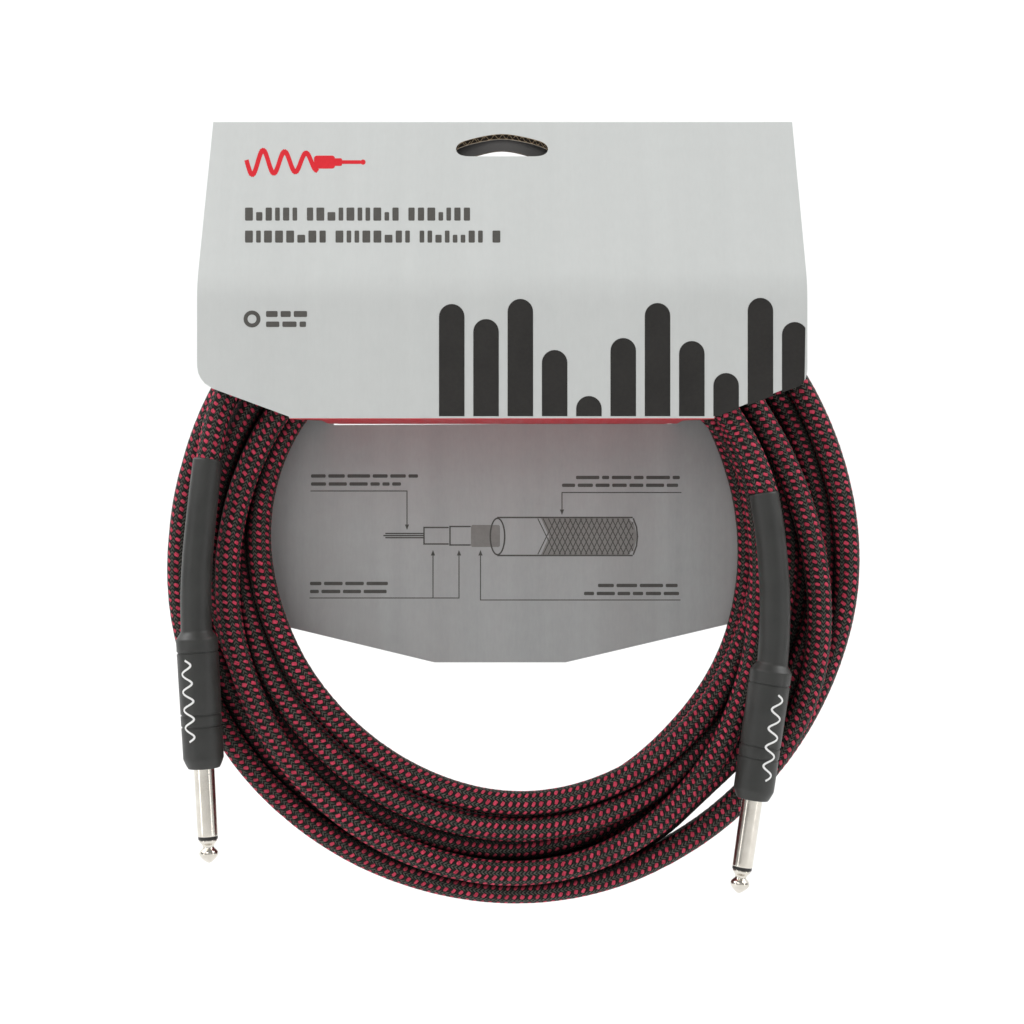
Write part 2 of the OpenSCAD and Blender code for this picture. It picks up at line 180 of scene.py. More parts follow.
# ------------------------------------------------------------------ materials
def mat_weave():
    t = Net("woven_cover")
    U, V, _ = t.uv()
    # threads are never quite straight
    wob = t.noise(t.xyz(t.m("MULTIPLY", U, 0.9), t.m("MULTIPLY", V, 1.3), 0.0), 1.0, 3.0, 0.6)
    wob2 = t.noise(t.xyz(t.m("MULTIPLY", U, 0.9), t.m("MULTIPLY", V, 1.3), 9.0), 1.0, 3.0, 0.6)
    U = t.m("ADD", U, t.m("MULTIPLY", t.m("SUBTRACT", wob, 0.5), 0.34))
    V = t.m("ADD", V, t.m("MULTIPLY", t.m("SUBTRACT", wob2, 0.5), 0.16))
    row = t.m("FLOOR", V)
    fv = t.m("SUBTRACT", t.m("SUBTRACT", V, row), 0.5)
    b = t.m("MULTIPLY", fv, 3.14)
    Uo = t.m("ADD", t.m("ADD", U, t.m("MULTIPLY", row, 0.15)), 0.5)
    cell = t.m("FLOOR", Uo)
    a = t.m("MULTIPLY", t.m("SUBTRACT", t.m("SUBTRACT", Uo, cell), 0.5), 2.43)
    cs, sn = math.cos(math.radians(30)), math.sin(math.radians(30))
    p = t.m("ADD", t.m("MULTIPLY", a, cs), t.m("MULTIPLY", b, sn))
    q = t.m("SUBTRACT", t.m("MULTIPLY", b, cs), t.m("MULTIPLY", a, sn))
    jit = t.white(t.xyz(cell, row, 0.3))
    jit2 = t.white(t.xyz(cell, row, 4.7))
    ragged = t.noise(t.xyz(t.m("MULTIPLY", U, 9.0), t.m("MULTIPLY", V, 12.0), 3.0), 1.0, 3.0, 0.6)
    wide = t.m("ADD", 0.53, t.m("MULTIPLY", jit, 0.13))
    p2 = t.m("POWER", t.m("ABSOLUTE", t.m("DIVIDE", p, wide)), 3.2)
    q2 = t.m("POWER", t.m("ABSOLUTE", t.m("DIVIDE", q, 0.92)), 4.0)
    e = t.m("SUBTRACT", 1.0, t.m("ADD", p2, q2))
    e = t.m("ADD", e, t.m("MULTIPLY", t.m("SUBTRACT", ragged, 0.5), 0.55))
    dot = t.rng(e, 0.0, 0.22, smooth=True)
    dome = t.m("POWER", t.m("MAXIMUM", e, 0.0), 0.5)
    # filaments lying along each pick: real bump and roughness, and painted glints in the colour
    fil = t.noise(t.xyz(t.m("MULTIPLY", p, 7.0), t.m("MULTIPLY", q, 0.9), t.m("MULTIPLY", cell, 3.1)), 1.0, 2.0, 0.6)
    # dark picks in the row itself, lying the other way
    k = t.m("ADD", t.m("MULTIPLY", U, 2.0), t.m("MULTIPLY", fv, 1.6))
    rib = t.m("ADD", 0.5, t.m("MULTIPLY", 0.5, t.m("SINE", t.m("MULTIPLY", k, 6.28318))))
    # gl: patches where the dark picks and the grey-green threads are painted lighter, as painted glints
    gl = t.noise(t.xyz(t.m("MULTIPLY", U, 2.6), t.m("MULTIPLY", V, 3.4), 1.0), 1.0, 4.0, 0.7)
    # between two rows: a line of short grey-green threads, one slanted way on each side
    mid = t.m("SUBTRACT", 0.5, t.m("ABSOLUTE", fv))
    line = t.rng(mid, 0.11, 0.33, 1.0, 0.0, smooth=True)
    core = t.rng(mid, 0.0, 0.03, 0.40, 1.0, smooth=True)
    k2 = t.m("ADD", t.m("MULTIPLY", U, 2.0), t.m("MULTIPLY", mid, 3.2))
    dash = t.rng(t.m("SINE", t.m("MULTIPLY", k2, 6.28318)), -0.75, 0.70, smooth=True)
    zip_ = t.m("MULTIPLY", t.m("MULTIPLY", line, core), t.m("MULTIPLY", dash, t.rng(gl, 0.30, 0.70, 0.35, 1.0)))
    # the dark picks are painted lighter on each rib's crest (painted glint) and near black in the grooves between them
    # (painted shade)
    body = t.m("MULTIPLY", t.m("POWER", rib, 2.0), t.rng(gl, 0.38, 0.72, 0.05, 0.55))
    dark = t.mix(body, (0.0038, 0.0038, 0.0032), (0.040, 0.038, 0.031))
    dark = t.mix(zip_, dark, (0.118, 0.112, 0.096))
    # the red picks are painted lighter along some filaments (painted glints) and differ at random from pick to pick
    redv = t.m("ADD", t.m("MULTIPLY", t.rng(fil, 0.32, 0.68), 0.62), t.m("MULTIPLY", jit2, 0.30), clamp=True)
    red = t.mix(redv, (0.21, 0.006, 0.020), (0.82, 0.085, 0.155))
    # each red pick is painted darker towards its edge: painted shade where it dives under the other threads
    red = t.mix(t.rng(e, 0.0, 0.55, 0.0, 1.0), (0.050, 0.003, 0.007), red)
    col = t.mix(dot, dark, red)
    # painted shade between turns that touch: the weave is painted darker where a neighbouring turn is close
    near = t.n.new("ShaderNodeAttribute")
    near.attribute_name = "open"
    shade = t.rng(near.outputs["Fac"], 0.05, 0.95, 0.10, 1.0)
    col = t.mix(shade, (0.0015, 0.0015, 0.0014), col)
    h = t.m("ADD", t.m("MULTIPLY", dome, 1.1), t.m("MULTIPLY", t.m("MULTIPLY", rib, 0.45), t.m("SUBTRACT", 1.0, dot)))
    h = t.m("ADD", h, t.m("MULTIPLY", fil, 0.22))
    h = t.m("ADD", h, t.m("MULTIPLY", zip_, 0.5))
    t.bump(h, 0.00034, 1.0)
    return t.set(Base_Color=col, Roughness=t.rng(fil, 0.3, 0.7, 0.50, 0.72), Specular_IOR_Level=0.17)


def mat_board(name, base, dark, print_rough=0.42, brushed=0.0, round_hole=False):
    """Printed corrugated board: soft mottling, faint flute shadows, slight wear."""
    t = Net(name)
    u, v, vec = t.uv()
    mottled = t.noise(t.xyz(u, v, 0.0), 18.0, 5.0, 0.6)
    flute = t.m("ADD", 0.5, t.m("MULTIPLY", 0.5, t.m("SINE", t.m("MULTIPLY", u, 2 * math.pi / 0.026))))
    fibre = t.noise(t.xyz(t.m("MULTIPLY", u, 14.0), t.m("MULTIPLY", v, 3.0), 2.0), 9.0, 6.0, 0.7)
    streak = t.noise(t.xyz(t.m("MULTIPLY", u, 11.0), t.m("MULTIPLY", v, 0.35), 5.0), 1.0, 4.0, 0.6)
    f = t.m("ADD", t.m("MULTIPLY", t.rng(mottled, 0.3, 0.7), 0.22), t.m("MULTIPLY", t.rng(fibre, 0.3, 0.7), 0.30), clamp=True)
    f = t.m("ADD", f, t.m("MULTIPLY", t.rng(streak, 0.35, 0.7), 0.30 + brushed), clamp=True)
    col = t.mix(f, dark, base)
    if round_hole:      # painted shade round the hang hole in the back: the inner face there is painted near black, as the enclosed spot gets little light
        dx = t.m("ABSOLUTE", t.m("SUBTRACT", u, 3.0))
        near = t.m("MULTIPLY", t.rng(dx, 0.15, 0.24, 1.0, 0.0, smooth=True), t.m("MULTIPLY", t.rng(v, -0.26, -0.17, smooth=True), t.rng(v, 0.0, 0.05, 1.0, 0.0, smooth=True)))
        col = t.mix(t.m("MULTIPLY", near, 0.86), col, (0.022, 0.021, 0.020))
        warm = t.rng(t.noise(t.xyz(t.m("MULTIPLY", u, 1.6), t.m("MULTIPLY", v, 0.4), 3.0), 2.0, 2.0, 0.5), 0.35, 0.65)
        col = t.mix(t.m("MULTIPLY", warm, 0.25), col, (0.31, 0.285, 0.28))
    h = t.m("ADD", t.m("MULTIPLY", flute, 0.35), t.m("MULTIPLY", fibre, 0.3))
    h = t.m("ADD", h, t.m("MULTIPLY", mottled, 0.5))
    t.bump(h, 0.00012, 0.35)
    rough = t.rng(streak, 0.3, 0.7, print_rough - 0.05, print_rough + 0.1)
    return t.set(Base_Color=col, Roughness=rough, Specular_IOR_Level=0.4)


def mat_board_edge():
    """Cut edge: two liners and the wavy medium, with painted shade in the hollow flutes between."""
    t = Net("board_cut_edge")
    u, v, vec = t.uv()
    wave = t.m("MULTIPLY", 0.72, t.m("SINE", t.m("MULTIPLY", u, 2 * math.pi / 0.026)))
    near = t.m("ABSOLUTE", t.m("SUBTRACT", v, wave))
    medium = t.rng(near, 0.10, 0.26, 1.0, 0.0, smooth=True)
    liner = t.rng(t.m("ABSOLUTE", v), 0.68, 0.80, smooth=True)
    solid = t.m("MAXIMUM", medium, liner)
    grain = t.noise(t.xyz(t.m("MULTIPLY", u, 30.0), t.m("MULTIPLY", v, 2.0), 0.0), 6.0, 4.0, 0.7)
    kraft = t.mix(t.rng(grain, 0.3, 0.7), (0.20, 0.135, 0.075), (0.46, 0.36, 0.24))
    outer = t.rng(t.m("ABSOLUTE", v), 0.90, 0.97, smooth=True)
    kraft = t.mix(outer, kraft, (0.60, 0.60, 0.57))
    # the hollow flutes between the papers are painted near black as painted shade
    col = t.mix(solid, (0.018, 0.013, 0.009), kraft)
    t.bump(t.m("ADD", solid, t.m("MULTIPLY", grain, 0.3)), 0.0003, 1.0)
    return t.set(Base_Color=col, Roughness=0.85, Specular_IOR_Level=0.2)


def mat_ink(name, base, other, rough=0.38):
    t = Net(name)
    n = t.noise(t.pos(), 900.0, 4.0, 0.7)
    n2 = t.noise(t.pos(), 60.0, 3.0, 0.6)
    f = t.m("ADD", t.m("MULTIPLY", t.rng(n, 0.35, 0.7), 0.5), t.m("MULTIPLY", t.rng(n2, 0.3, 0.7), 0.5), clamp=True)
    return t.set(Base_Color=t.mix(f, base, other), Roughness=t.rng(n2, 0.3, 0.7, rough, rough + 0.12), Specular_IOR_Level=0.4)


def mat_boot():
    t = Net("soft_moulding")
    p = t.pos()
    fine = t.noise(p, 5200.0, 4.0, 0.65)
    cloud = t.noise(p, 140.0, 4.0, 0.6)
    col = t.mix(t.m("ADD", t.m("MULTIPLY", t.rng(cloud, 0.3, 0.7), 0.7), t.m("MULTIPLY", t.rng(fine, 0.3, 0.7), 0.3), clamp=True),
                (0.0155, 0.0162, 0.0148), (0.0275, 0.0282, 0.0258))
    t.bump(t.m("ADD", fine, t.m("MULTIPLY", cloud, 0.6)), 0.00006, 0.55)
    return t.set(Base_Color=col, Roughness=t.rng(cloud, 0.3, 0.7, 0.38, 0.50), Specular_IOR_Level=0.5)


def mat_nickel(name="nickel", tint=(0.74, 0.705, 0.64), low=(0.60, 0.565, 0.505)):
    t = Net(name)
    x, y, z = t.split(t.pos())
    turned = t.noise(t.xyz(t.m("MULTIPLY", x, 12.0), t.m("MULTIPLY", y, 12.0), t.m("MULTIPLY", z, 2600.0)), 1.0, 3.0, 0.7)
    stain = t.noise(t.pos(), 260.0, 5.0, 0.65)
    col = t.mix(t.rng(stain, 0.3, 0.65), low, tint)
    t.bump(turned, 0.000008, 0.6)
    return t.set(Base_Color=col, Metallic=1.0, Roughness=t.rng(stain, 0.3, 0.7, 0.13, 0.22))


def mat_plain(name, a, b, rough, scale=600.0, metallic=0.0, bump=0.00003):
    t = Net(name)
    n = t.noise(t.pos(), scale, 5.0, 0.65)
    m2 = t.noise(t.pos(), scale * 0.15, 3.0, 0.6)
    col = t.mix(t.m("ADD", t.m("MULTIPLY", t.rng(n, 0.3, 0.7), 0.5), t.m("MULTIPLY", t.rng(m2, 0.3, 0.7), 0.5), clamp=True), a, b)
    t.bump(n, bump, 0.6)
    return t.set(Base_Color=col, Metallic=metallic, Roughness=t.rng(m2, 0.3, 0.7, rough - 0.05, rough + 0.08))


M_WEAVE = mat_weave()
M_FRONT = mat_board("board_front", (0.585, 0.602, 0.592), (0.530, 0.546, 0.538))
M_INNER = mat_board("board_inner", (0.375, 0.385, 0.385), (0.295, 0.303, 0.303), 0.36, 0.12, True)
M_RED = mat_board("board_red", (0.62, 0.018, 0.035), (0.50, 0.013, 0.026), 0.4)
M_EDGE = mat_board_edge()
M_BLACK = mat_ink("ink_black", (0.010, 0.009, 0.008), (0.020, 0.018, 0.016))
M_GREY = mat_ink("ink_grey", (0.065, 0.062, 0.056), (0.095, 0.091, 0.083))
M_INKRED = mat_ink("ink_red", (0.60, 0.010, 0.020), (0.70, 0.016, 0.028))
M_LINE = mat_ink("ink_line", (0.040, 0.038, 0.035), (0.075, 0.072, 0.066))
M_BOOT = mat_boot()
M_WHITEINK = mat_ink("ink_white", (0.72, 0.72, 0.71), (0.80, 0.80, 0.79), 0.45)
M_NICKEL = mat_nickel()
M_RING = mat_plain("black_insulator", (0.008, 0.007, 0.007), (0.016, 0.015, 0.014), 0.32, 900)
M_MOULD = mat_plain("hard_moulding", (0.030, 0.030, 0.031), (0.055, 0.055, 0.057), 0.5)
M_BRASS = mat_plain("tinned_brass", (0.62, 0.50, 0.28), (0.78, 0.68, 0.46), 0.3, 700, 1.0)
M_COPPER = mat_plain("copper_wire", (0.72, 0.33, 0.17), (0.90, 0.50, 0.30), 0.34, 1500, 1.0)
M_CORE = mat_plain("core_plastic", (0.78, 0.76, 0.68), (0.88, 0.87, 0.80), 0.4)
M_SCREEN = mat_plain("core_screen", (0.012, 0.012, 0.013), (0.030, 0.030, 0.032), 0.55)
M_JACKET = mat_plain("cable_jacket", (0.008, 0.008, 0.008), (0.020, 0.020, 0.020), 0.5)
M_SOLDER = mat_plain("solder", (0.55, 0.56, 0.57), (0.74, 0.75, 0.76), 0.25, 500, 1.0)
M_SHIELDINK = mat_ink("ink_shield", (0.16, 0.155, 0.148), (0.21, 0.205, 0.195))
M_STAGE = mat_plain("studio_paper", (0.86, 0.86, 0.86), (0.90, 0.90, 0.90), 0.85, 6.0)
M_PAPER = mat_plain("hard_paper", (0.16, 0.075, 0.035), (0.26, 0.13, 0.07), 0.6)


# ------------------------------------------------------------------ mesh helpers
def add_mesh(name, verts, faces, mats, uvs=None, mat_index=None, smooth=None, sharp=None):
    me = bpy.data.meshes.new(name)
    me.from_pydata([tuple(v) for v in np.asarray(verts, float)], [], faces)
    me.update()
    if not isinstance(mats, (list, tuple)):
        mats = [mats]
    for m_ in mats:
        me.materials.append(m_)
    if uvs is not None:
        layer = me.uv_layers.new(name="UVMap")
        layer.data.foreach_set("uv", np.asarray(uvs, np.float32).ravel())
    if mat_index is not None:
        me.polygons.foreach_set("material_index", np.asarray(mat_index, np.int32))
    if smooth is not None:
        me.polygons.foreach_set("use_smooth", np.full(len(me.polygons), bool(smooth)))
    ob = bpy.data.objects.new(name, me)
    scene.collection.objects.link(ob)
    if sharp is not None:
        bm = bmesh.new()
        bm.from_mesh(me)
        for e in bm.edges:
            if len(e.link_faces) == 2 and e.calc_face_angle(0.0) > math.radians(sharp):
                e.smooth = False
        bm.to_mesh(me)
        bm.free()
    return ob


def transport(P, up=(0.0, 1.0, 0.0)):
    """Tangents and a frame that doesn't spin, along a line of points."""
    T = np.gradient(P, axis=0)
    T /= np.linalg.norm(T, axis=1)[:, None]
    A = np.zeros_like(P)
    a = np.array(up, float) - np.dot(up, T[0]) * T[0]
    a /= np.linalg.norm(a)
    A[0] = a
    for i in range(1, len(P)):
        a = a - np.dot(a, T[i]) * T[i]
        a /= np.linalg.norm(a)
        A[i] = a
    return T, A, np.cross(T, A)


def lathe_sweep(P, R, sides, A=None, B=None):
    """Rings of radius R[i] round the points P[i]."""
    if A is None:
        _, A, B = transport(P)
    ang = np.arange(sides) * 2 * math.pi / sides
    V = P[:, None, :] + R[:, None, None] * (np.cos(ang)[None, :, None] * A[:, None, :] + np.sin(ang)[None, :, None] * B[:, None, :])
    return V


def tube_mesh(name, P, R, sides, mats, A=None, B=None, sharp=40, closed_ends=True):
    V = lathe_sweep(P, R, sides, A, B)
    n = len(P)
    verts = V.reshape(-1, 3)
    faces, uvs = [], []
    acc = np.r_[0, np.cumsum(np.hypot(np.linalg.norm(np.diff(P, axis=0), axis=1), np.diff(R)))]
    for i in range(n - 1):
        for k in range(sides):
            k2 = (k + 1) % sides
            faces.append((i * sides + k, i * sides + k2, (i + 1) * sides + k2, (i + 1) * sides + k))
            uvs += [(acc[i] / 10, k / sides), (acc[i] / 10, (k + 1) / sides), (acc[i + 1] / 10, (k + 1) / sides), (acc[i + 1] / 10, k / sides)]
    if closed_ends:
        faces.append(tuple(range(sides))[::-1])
        uvs += [(0.0, 0.0)] * sides
        faces.append(tuple((n - 1) * sides + k for k in range(sides)))
        uvs += [(0.0, 0.0)] * sides
    return add_mesh(name, verts * MM, faces, mats, uvs, smooth=True, sharp=sharp)


# ------------------------------------------------------------------ the cable's route
R_C = 0.004
CX, CZ = 2.4, -130.2
PITCH_DEG = 3.0
PER = 120

def route():
    """Centreline of the whole cable in millimetres: neck of plug A, nine turns, neck of plug B."""
    # each turn: (degrees clockwise from the top, distance from the centre as seen, y)
    T = {
     "E": (0.5, [(57,90.6,-19.5),(65,91.6,-19.5),(75,93.3,-19.5),(85,95.8,-19.5),(95,98.8,-19.4),(105,102,-19),(115,104.6,-18),(125,105.9,-17),(135,105.9,-16.5),(150,105.7,-15.5),(165,105.7,-14.8),(180,105.2,-14.2),(195,104.4,-14),(210,104.8,-14),(220,105.1,-14),(235,106,-14),(250,106,-14),(262,106,-14),(270,105.2,-14),(281,103.9,-14),(290,104.5,-14),(302,105.6,-14)]),
     "F": (0.08, [(57,105.6,-16.5),(65,104.8,-16),(80,105.3,-14.5),(95,105.7,-12),(105,106,-10.5),(120,105.7,-8.8),(135,105.2,-8),(150,105.0,-7),(170,105.8,-6),(200,105,-5.8),(230,105.5,-5.8),(260,105,-5.8),(302,104.5,-5.9)]),
     "I": (0.30, [(57,96,-5.8),(75,93.8,-5.8),(95,93.4,-5.8),(115,92.8,-5.8),(128,92.0,-5.7),(135,91.2,-5.7),(147,91.4,-5.7),(160,93.2,-5.7),(190,92,-5.6),(230,90,-5.7),(270,91,-5.8),(302,95.5,-5.9)]),
     "G": (0.50, [(57,99.3,-10.5),(70,100.2,-9.8),(90,100.2,-9.8),(102,99.4,-11.4),(112,98.4,-12.8),(116,98.0,-13),(121,97.4,-13),(127,95.4,-13),(133,93.6,-13),(142,93.2,-12.9),(146,94.8,-12.5),(150,97.4,-11.6),(155,98.7,-10.8),(165,98.8,-9.9),(190,98.6,-9.7),(220,98.6,-9.8),(250,98.6,-9.8),(275,98.4,-9.4),(302,97.8,-8.5)]),
     "C": (0.12, [(57,88.5,-6.5),(80,86.2,-6.5),(100,85.5,-6.5),(120,84.8,-7.6),(140,85.2,-8.3),(155,89.3,-11.8),(170,93.4,-13.4),(180,93.3,-13.6),(190,93.0,-13.6),(200,92.4,-13.4),(210,91.6,-13),(220,90.8,-12.8),(235,91,-12.6),(255,93,-12.6),(275,95.2,-14),(302,95.8,-17.5)]),
     "B": (0.35, [(57,89,-12.5),(80,88,-12.5),(100,86.5,-12.5),(115,85.5,-13),(128,85.2,-14.5),(140,85.6,-16.6),(150,85.7,-18.4),(160,85.9,-19.4),(170,86.1,-19.5),(180,85.8,-19.5),(190,85.2,-19.5),(200,84.7,-19.5),(210,84.2,-19.5),(220,84,-19.5),(230,84,-19.5),(240,84.1,-19.2),(250,84.4,-18.4),(260,84.9,-17),(270,86,-15.2),(280,88,-13.6),(302,91.7,-12.6)]),
     "H": (0.12, [(57,80.5,-5.9),(90,78,-5.8),(120,76.4,-5.8),(140,76.4,-5.9),(152,79.0,-7.2),(166,81.6,-8),(180,81.8,-8),(196,80.4,-8),(210,79,-8),(240,79.5,-7),(270,83,-5.9),(302,87.5,-5.8)]),
     "A": (0.35, [(57,82,-12.4),(80,81,-12.4),(95,80.6,-12.4),(105,80.6,-13),(112,80.4,-14),(120,79.8,-16),(128,79.6,-18),(138,79.5,-19.4),(150,79.4,-19.5),(160,79.1,-19.5),(170,78.6,-19.5),(180,77.8,-19.5),(190,76.7,-19.5),(200,75.7,-19.5),(210,75.1,-19.5),(220,74.9,-19.5),(230,75.1,-19.5),(240,76,-19.4),(250,77.6,-18.8),(260,79.6,-17.4),(270,81.6,-15.6),(280,83,-14),(290,83.8,-13),(302,83.8,-12.6)]),
     "D": (0.5, [(57,83,-19.6),(70,81.2,-19.6),(80,80.2,-19.6),(90,79.9,-19.6),(100,80.8,-19.7),(107,82,-20),(115,84,-20.3),(122,86.0,-20.3),(130,88.7,-20.3),(140,92.3,-20.3),(150,95.9,-20.2),(160,98.8,-20),(170,100.2,-19.8),(180,100.3,-19.6),(190,99.5,-19.6),(200,98.4,-19.6),(210,97.1,-19.6),(220,95.8,-19.6),(230,94.3,-19.6),(240,92.8,-19.6),(250,91.5,-19.6),(260,90.5,-19.6),(270,89.6,-19.6),(280,88.9,-19.6),(290,88.4,-19.6),(302,88,-19.6)]),
    }
    order = "E F I G C B H A D".split()
    start, end = 288.0, 75.0            # where the two free ends leave the necks
    PH = [start - 360.0]; kn = []
    # lead A, polar part
    kn += [(-72.0, 99.5, -28.6, 1.0), (-66.0, 102.0, -27.2, 1.0), (-59.0, 104.7, -25.6, 1.0), (-45.0, 103.5, -21.5, 0.3)]
    for k, name in enumerate(order):
        w, pts = T[name]
        for p, r, y in pts:
            s = 1865.6 / (613.0 + y)
            kn.append((360.0 * k + p, r * 3.13 / s, y, w))
    base = 360.0 * len(order)
    kn += [(base + 45, 82.5, -26.0, 0.3), (base + 58.8, 82.7, -27.6, 1.0), (base + 66, 82.7, -28.3, 1.0), (base + 75.0, 82.7, -28.9, 1.0)]
    kn = np.array(kn)
    n = int(round((kn[-1, 0] - kn[0, 0]) / PITCH_DEG)) + 1
    phi = kn[0, 0] + PITCH_DEG * np.arange(n)
    # monotone-ish interpolation of the knots
    def pchip(x, y, q):
        h = np.diff(x); d = np.diff(y) / h
        m = np.zeros_like(y)
        for i in range(1, len(y) - 1):
            if d[i - 1] * d[i] > 0:
                w1 = 2 * h[i] + h[i - 1]; w2 = h[i] + 2 * h[i - 1]
                m[i] = (w1 + w2) / (w1 / d[i - 1] + w2 / d[i])
        j = np.clip(np.searchsorted(x, q) - 1, 0, len(h) - 1)
        t = (q - x[j]) / h[j]
        return ((1 + 2 * t) * (1 - t) ** 2 * y[j] + t * (1 - t) ** 2 * h[j] * m[j]
                + t * t * (3 - 2 * t) * y[j + 1] + t * t * (t - 1) * h[j] * m[j + 1])
    tr = pchip(kn[:, 0], kn[:, 1], phi); ty = pchip(kn[:, 0], kn[:, 2], phi)
    w = np.interp(phi, kn[:, 0], kn[:, 3])
    local = np.mod(phi, 360.0)
    hidden = (local > 306) | (local < 54)
    w = np.where(hidden, 0.004, w)
    w[:6] = 1.0; w[-6:] = 1.0
    q = np.stack([tr, ty], 1); target = q.copy()
    cosp = np.cos(np.radians(phi))
    D = 8.12
    for it in range(1500):
        a = 1.0 if it < 1000 else 0.5
        move = np.zeros_like(q); cnt = np.zeros(n)
        for m in range(1, 10):
            if n - PER * m <= 0: break
            i = np.arange(0, n - PER * m); j = i + PER * m
            d = q[j] - q[i]; L = np.hypot(d[:, 0], d[:, 1]) + 1e-9
            over = np.clip(D - L, 0, 3.0)
            push = (d / L[:, None]) * (over * 0.5 * 0.55)[:, None]
            np.add.at(move, i, -push); np.add.at(move, j, push)
        q = q + move * a
        # stiffness along the cable
        lap = np.zeros_like(q)
        lap[1:-1] = 0.5 * (q[:-2] + q[2:]) - q[1:-1]
        q = q + 0.45 * lap
        q = q + (target - q) * (w * 0.25)[:, None] * (1.0 if it < 1100 else 0.35)
        # the back panel, the leaning front panel and the front wall
        z = CZ + cosp * q[:, 0]
        lean = np.where(z > -44.3, -0.8 - 0.5538 * (12.4 - z) + 0.915 + 4.75, -27.1)
        lo = np.maximum(lean, -31.4 + 4.15) 
        q[:, 1] = np.clip(q[:, 1], np.where(local > 300, lo, np.where(local < 62, lo, -99)), -5.72)
        q[0] = target[0]; q[-1] = target[-1]; q[1] = target[1]; q[-2] = target[-2]
    # to space, with finer samples
    fine = np.arange(phi[0], phi[-1] + 1e-6, 1.0)
    def spline(x, y, s):
        # natural cubic
        k = len(x); h = x[1] - x[0]
        A = np.zeros(k); B = np.ones(k) * 4.0; C = np.zeros(k)
        rhs = np.zeros(k); rhs[1:-1] = 6 * (y[2:] - 2 * y[1:-1] + y[:-2]) / h ** 2
        M = np.zeros(k); cp = np.zeros(k); dp = np.zeros(k)
        for i in range(1, k - 1):
            mden = B[i] - cp[i - 1]
            cp[i] = 1 / mden; dp[i] = (rhs[i] - dp[i - 1]) / mden
        for i in range(k - 2, 0, -1):
            M[i] = dp[i] - cp[i] * M[i + 1]
        j = np.clip(((s - x[0]) / h).astype(int), 0, k - 2)
        t = (s - x[j]); u = h - t
        return (M[j] * u ** 3 + M[j + 1] * t ** 3) / (6 * h) + (y[j] / h - M[j] * h / 6) * u + (y[j + 1] / h - M[j + 1] * h / 6) * t
    fr = spline(phi, q[:, 0], fine); fy = spline(phi, q[:, 1], fine)
    a = np.radians(fine)
    pts = np.stack([CX + np.sin(a) * fr, fy, CZ + np.cos(a) * fr], 1)
    headA = np.array([(-95.2,-30.4,-157.8),(-95.35,-30.4,-155.0),(-95.5,-30.4,-152.3),(-95.7,-30.3,-142),(-95.3,-30.0,-130),(-94.3,-29.6,-118),(-93.3,-29.1,-108)], float)
    tailB = np.array([(83.7,-29.5,-121),(84.7,-30.0,-132),(85.2,-30.3,-143),(85.0,-30.4,-154),(84.3,-30.4,-162.4),(83.9,-30.4,-165.1),(83.5,-30.4,-167.8)], float)
    return headA, pts, tailB, q, phi

def resample(P, step):
    # Catmull-Rom through P (centripetal-ish by arc), then equal steps
    d = np.r_[0, np.cumsum(np.linalg.norm(np.diff(P, axis=0), axis=1))]
    m = np.zeros_like(P)
    m[1:-1] = (P[2:] - P[:-2]) / (d[2:] - d[:-2])[:, None]
    m[0] = (P[1] - P[0]) / (d[1] - d[0]); m[-1] = (P[-1] - P[-2]) / (d[-1] - d[-2])
    q = np.linspace(0, d[-1], int(d[-1] / 0.5) + 1)
    j = np.clip(np.searchsorted(d, q) - 1, 0, len(P) - 2)
    h = (d[j + 1] - d[j]); t = ((q - d[j]) / h)[:, None]; h = h[:, None]
    C = ((1 + 2 * t) * (1 - t) ** 2 * P[j] + t * (1 - t) ** 2 * h * m[j] + t * t * (3 - 2 * t) * P[j + 1] + t * t * (t - 1) * h * m[j + 1])
    d = np.r_[0, np.cumsum(np.linalg.norm(np.diff(C, axis=0), axis=1))]
    k = int(round(d[-1] / step)) + 1
    q = np.linspace(0, d[-1], k)
    return np.stack([np.interp(q, d, C[:, i]) for i in range(3)], 1), d[-1]


head_a, middle, tail_b, _, _ = route()
# inside the necks the cable starts 25 mm below the lip
head_a = np.array([(-95.15, -29.95, -126.0), (-94.75, -29.78, -122.0), (-94.3, -29.6, -118.0), (-93.8, -29.35, -113.0), (-93.3, -29.1, -108.0)])
tail_b = np.array([(83.7, -29.5, -121.0), (84.25, -29.8, -126.5), (84.7, -30.0, -132.0), (84.95, -30.15, -136.0)])
LINE, CABLE_LEN = resample(np.concatenate([head_a, middle, tail_b]), 1.2)
NECK_A, NECK_B = LINE[0], LINE[-1]


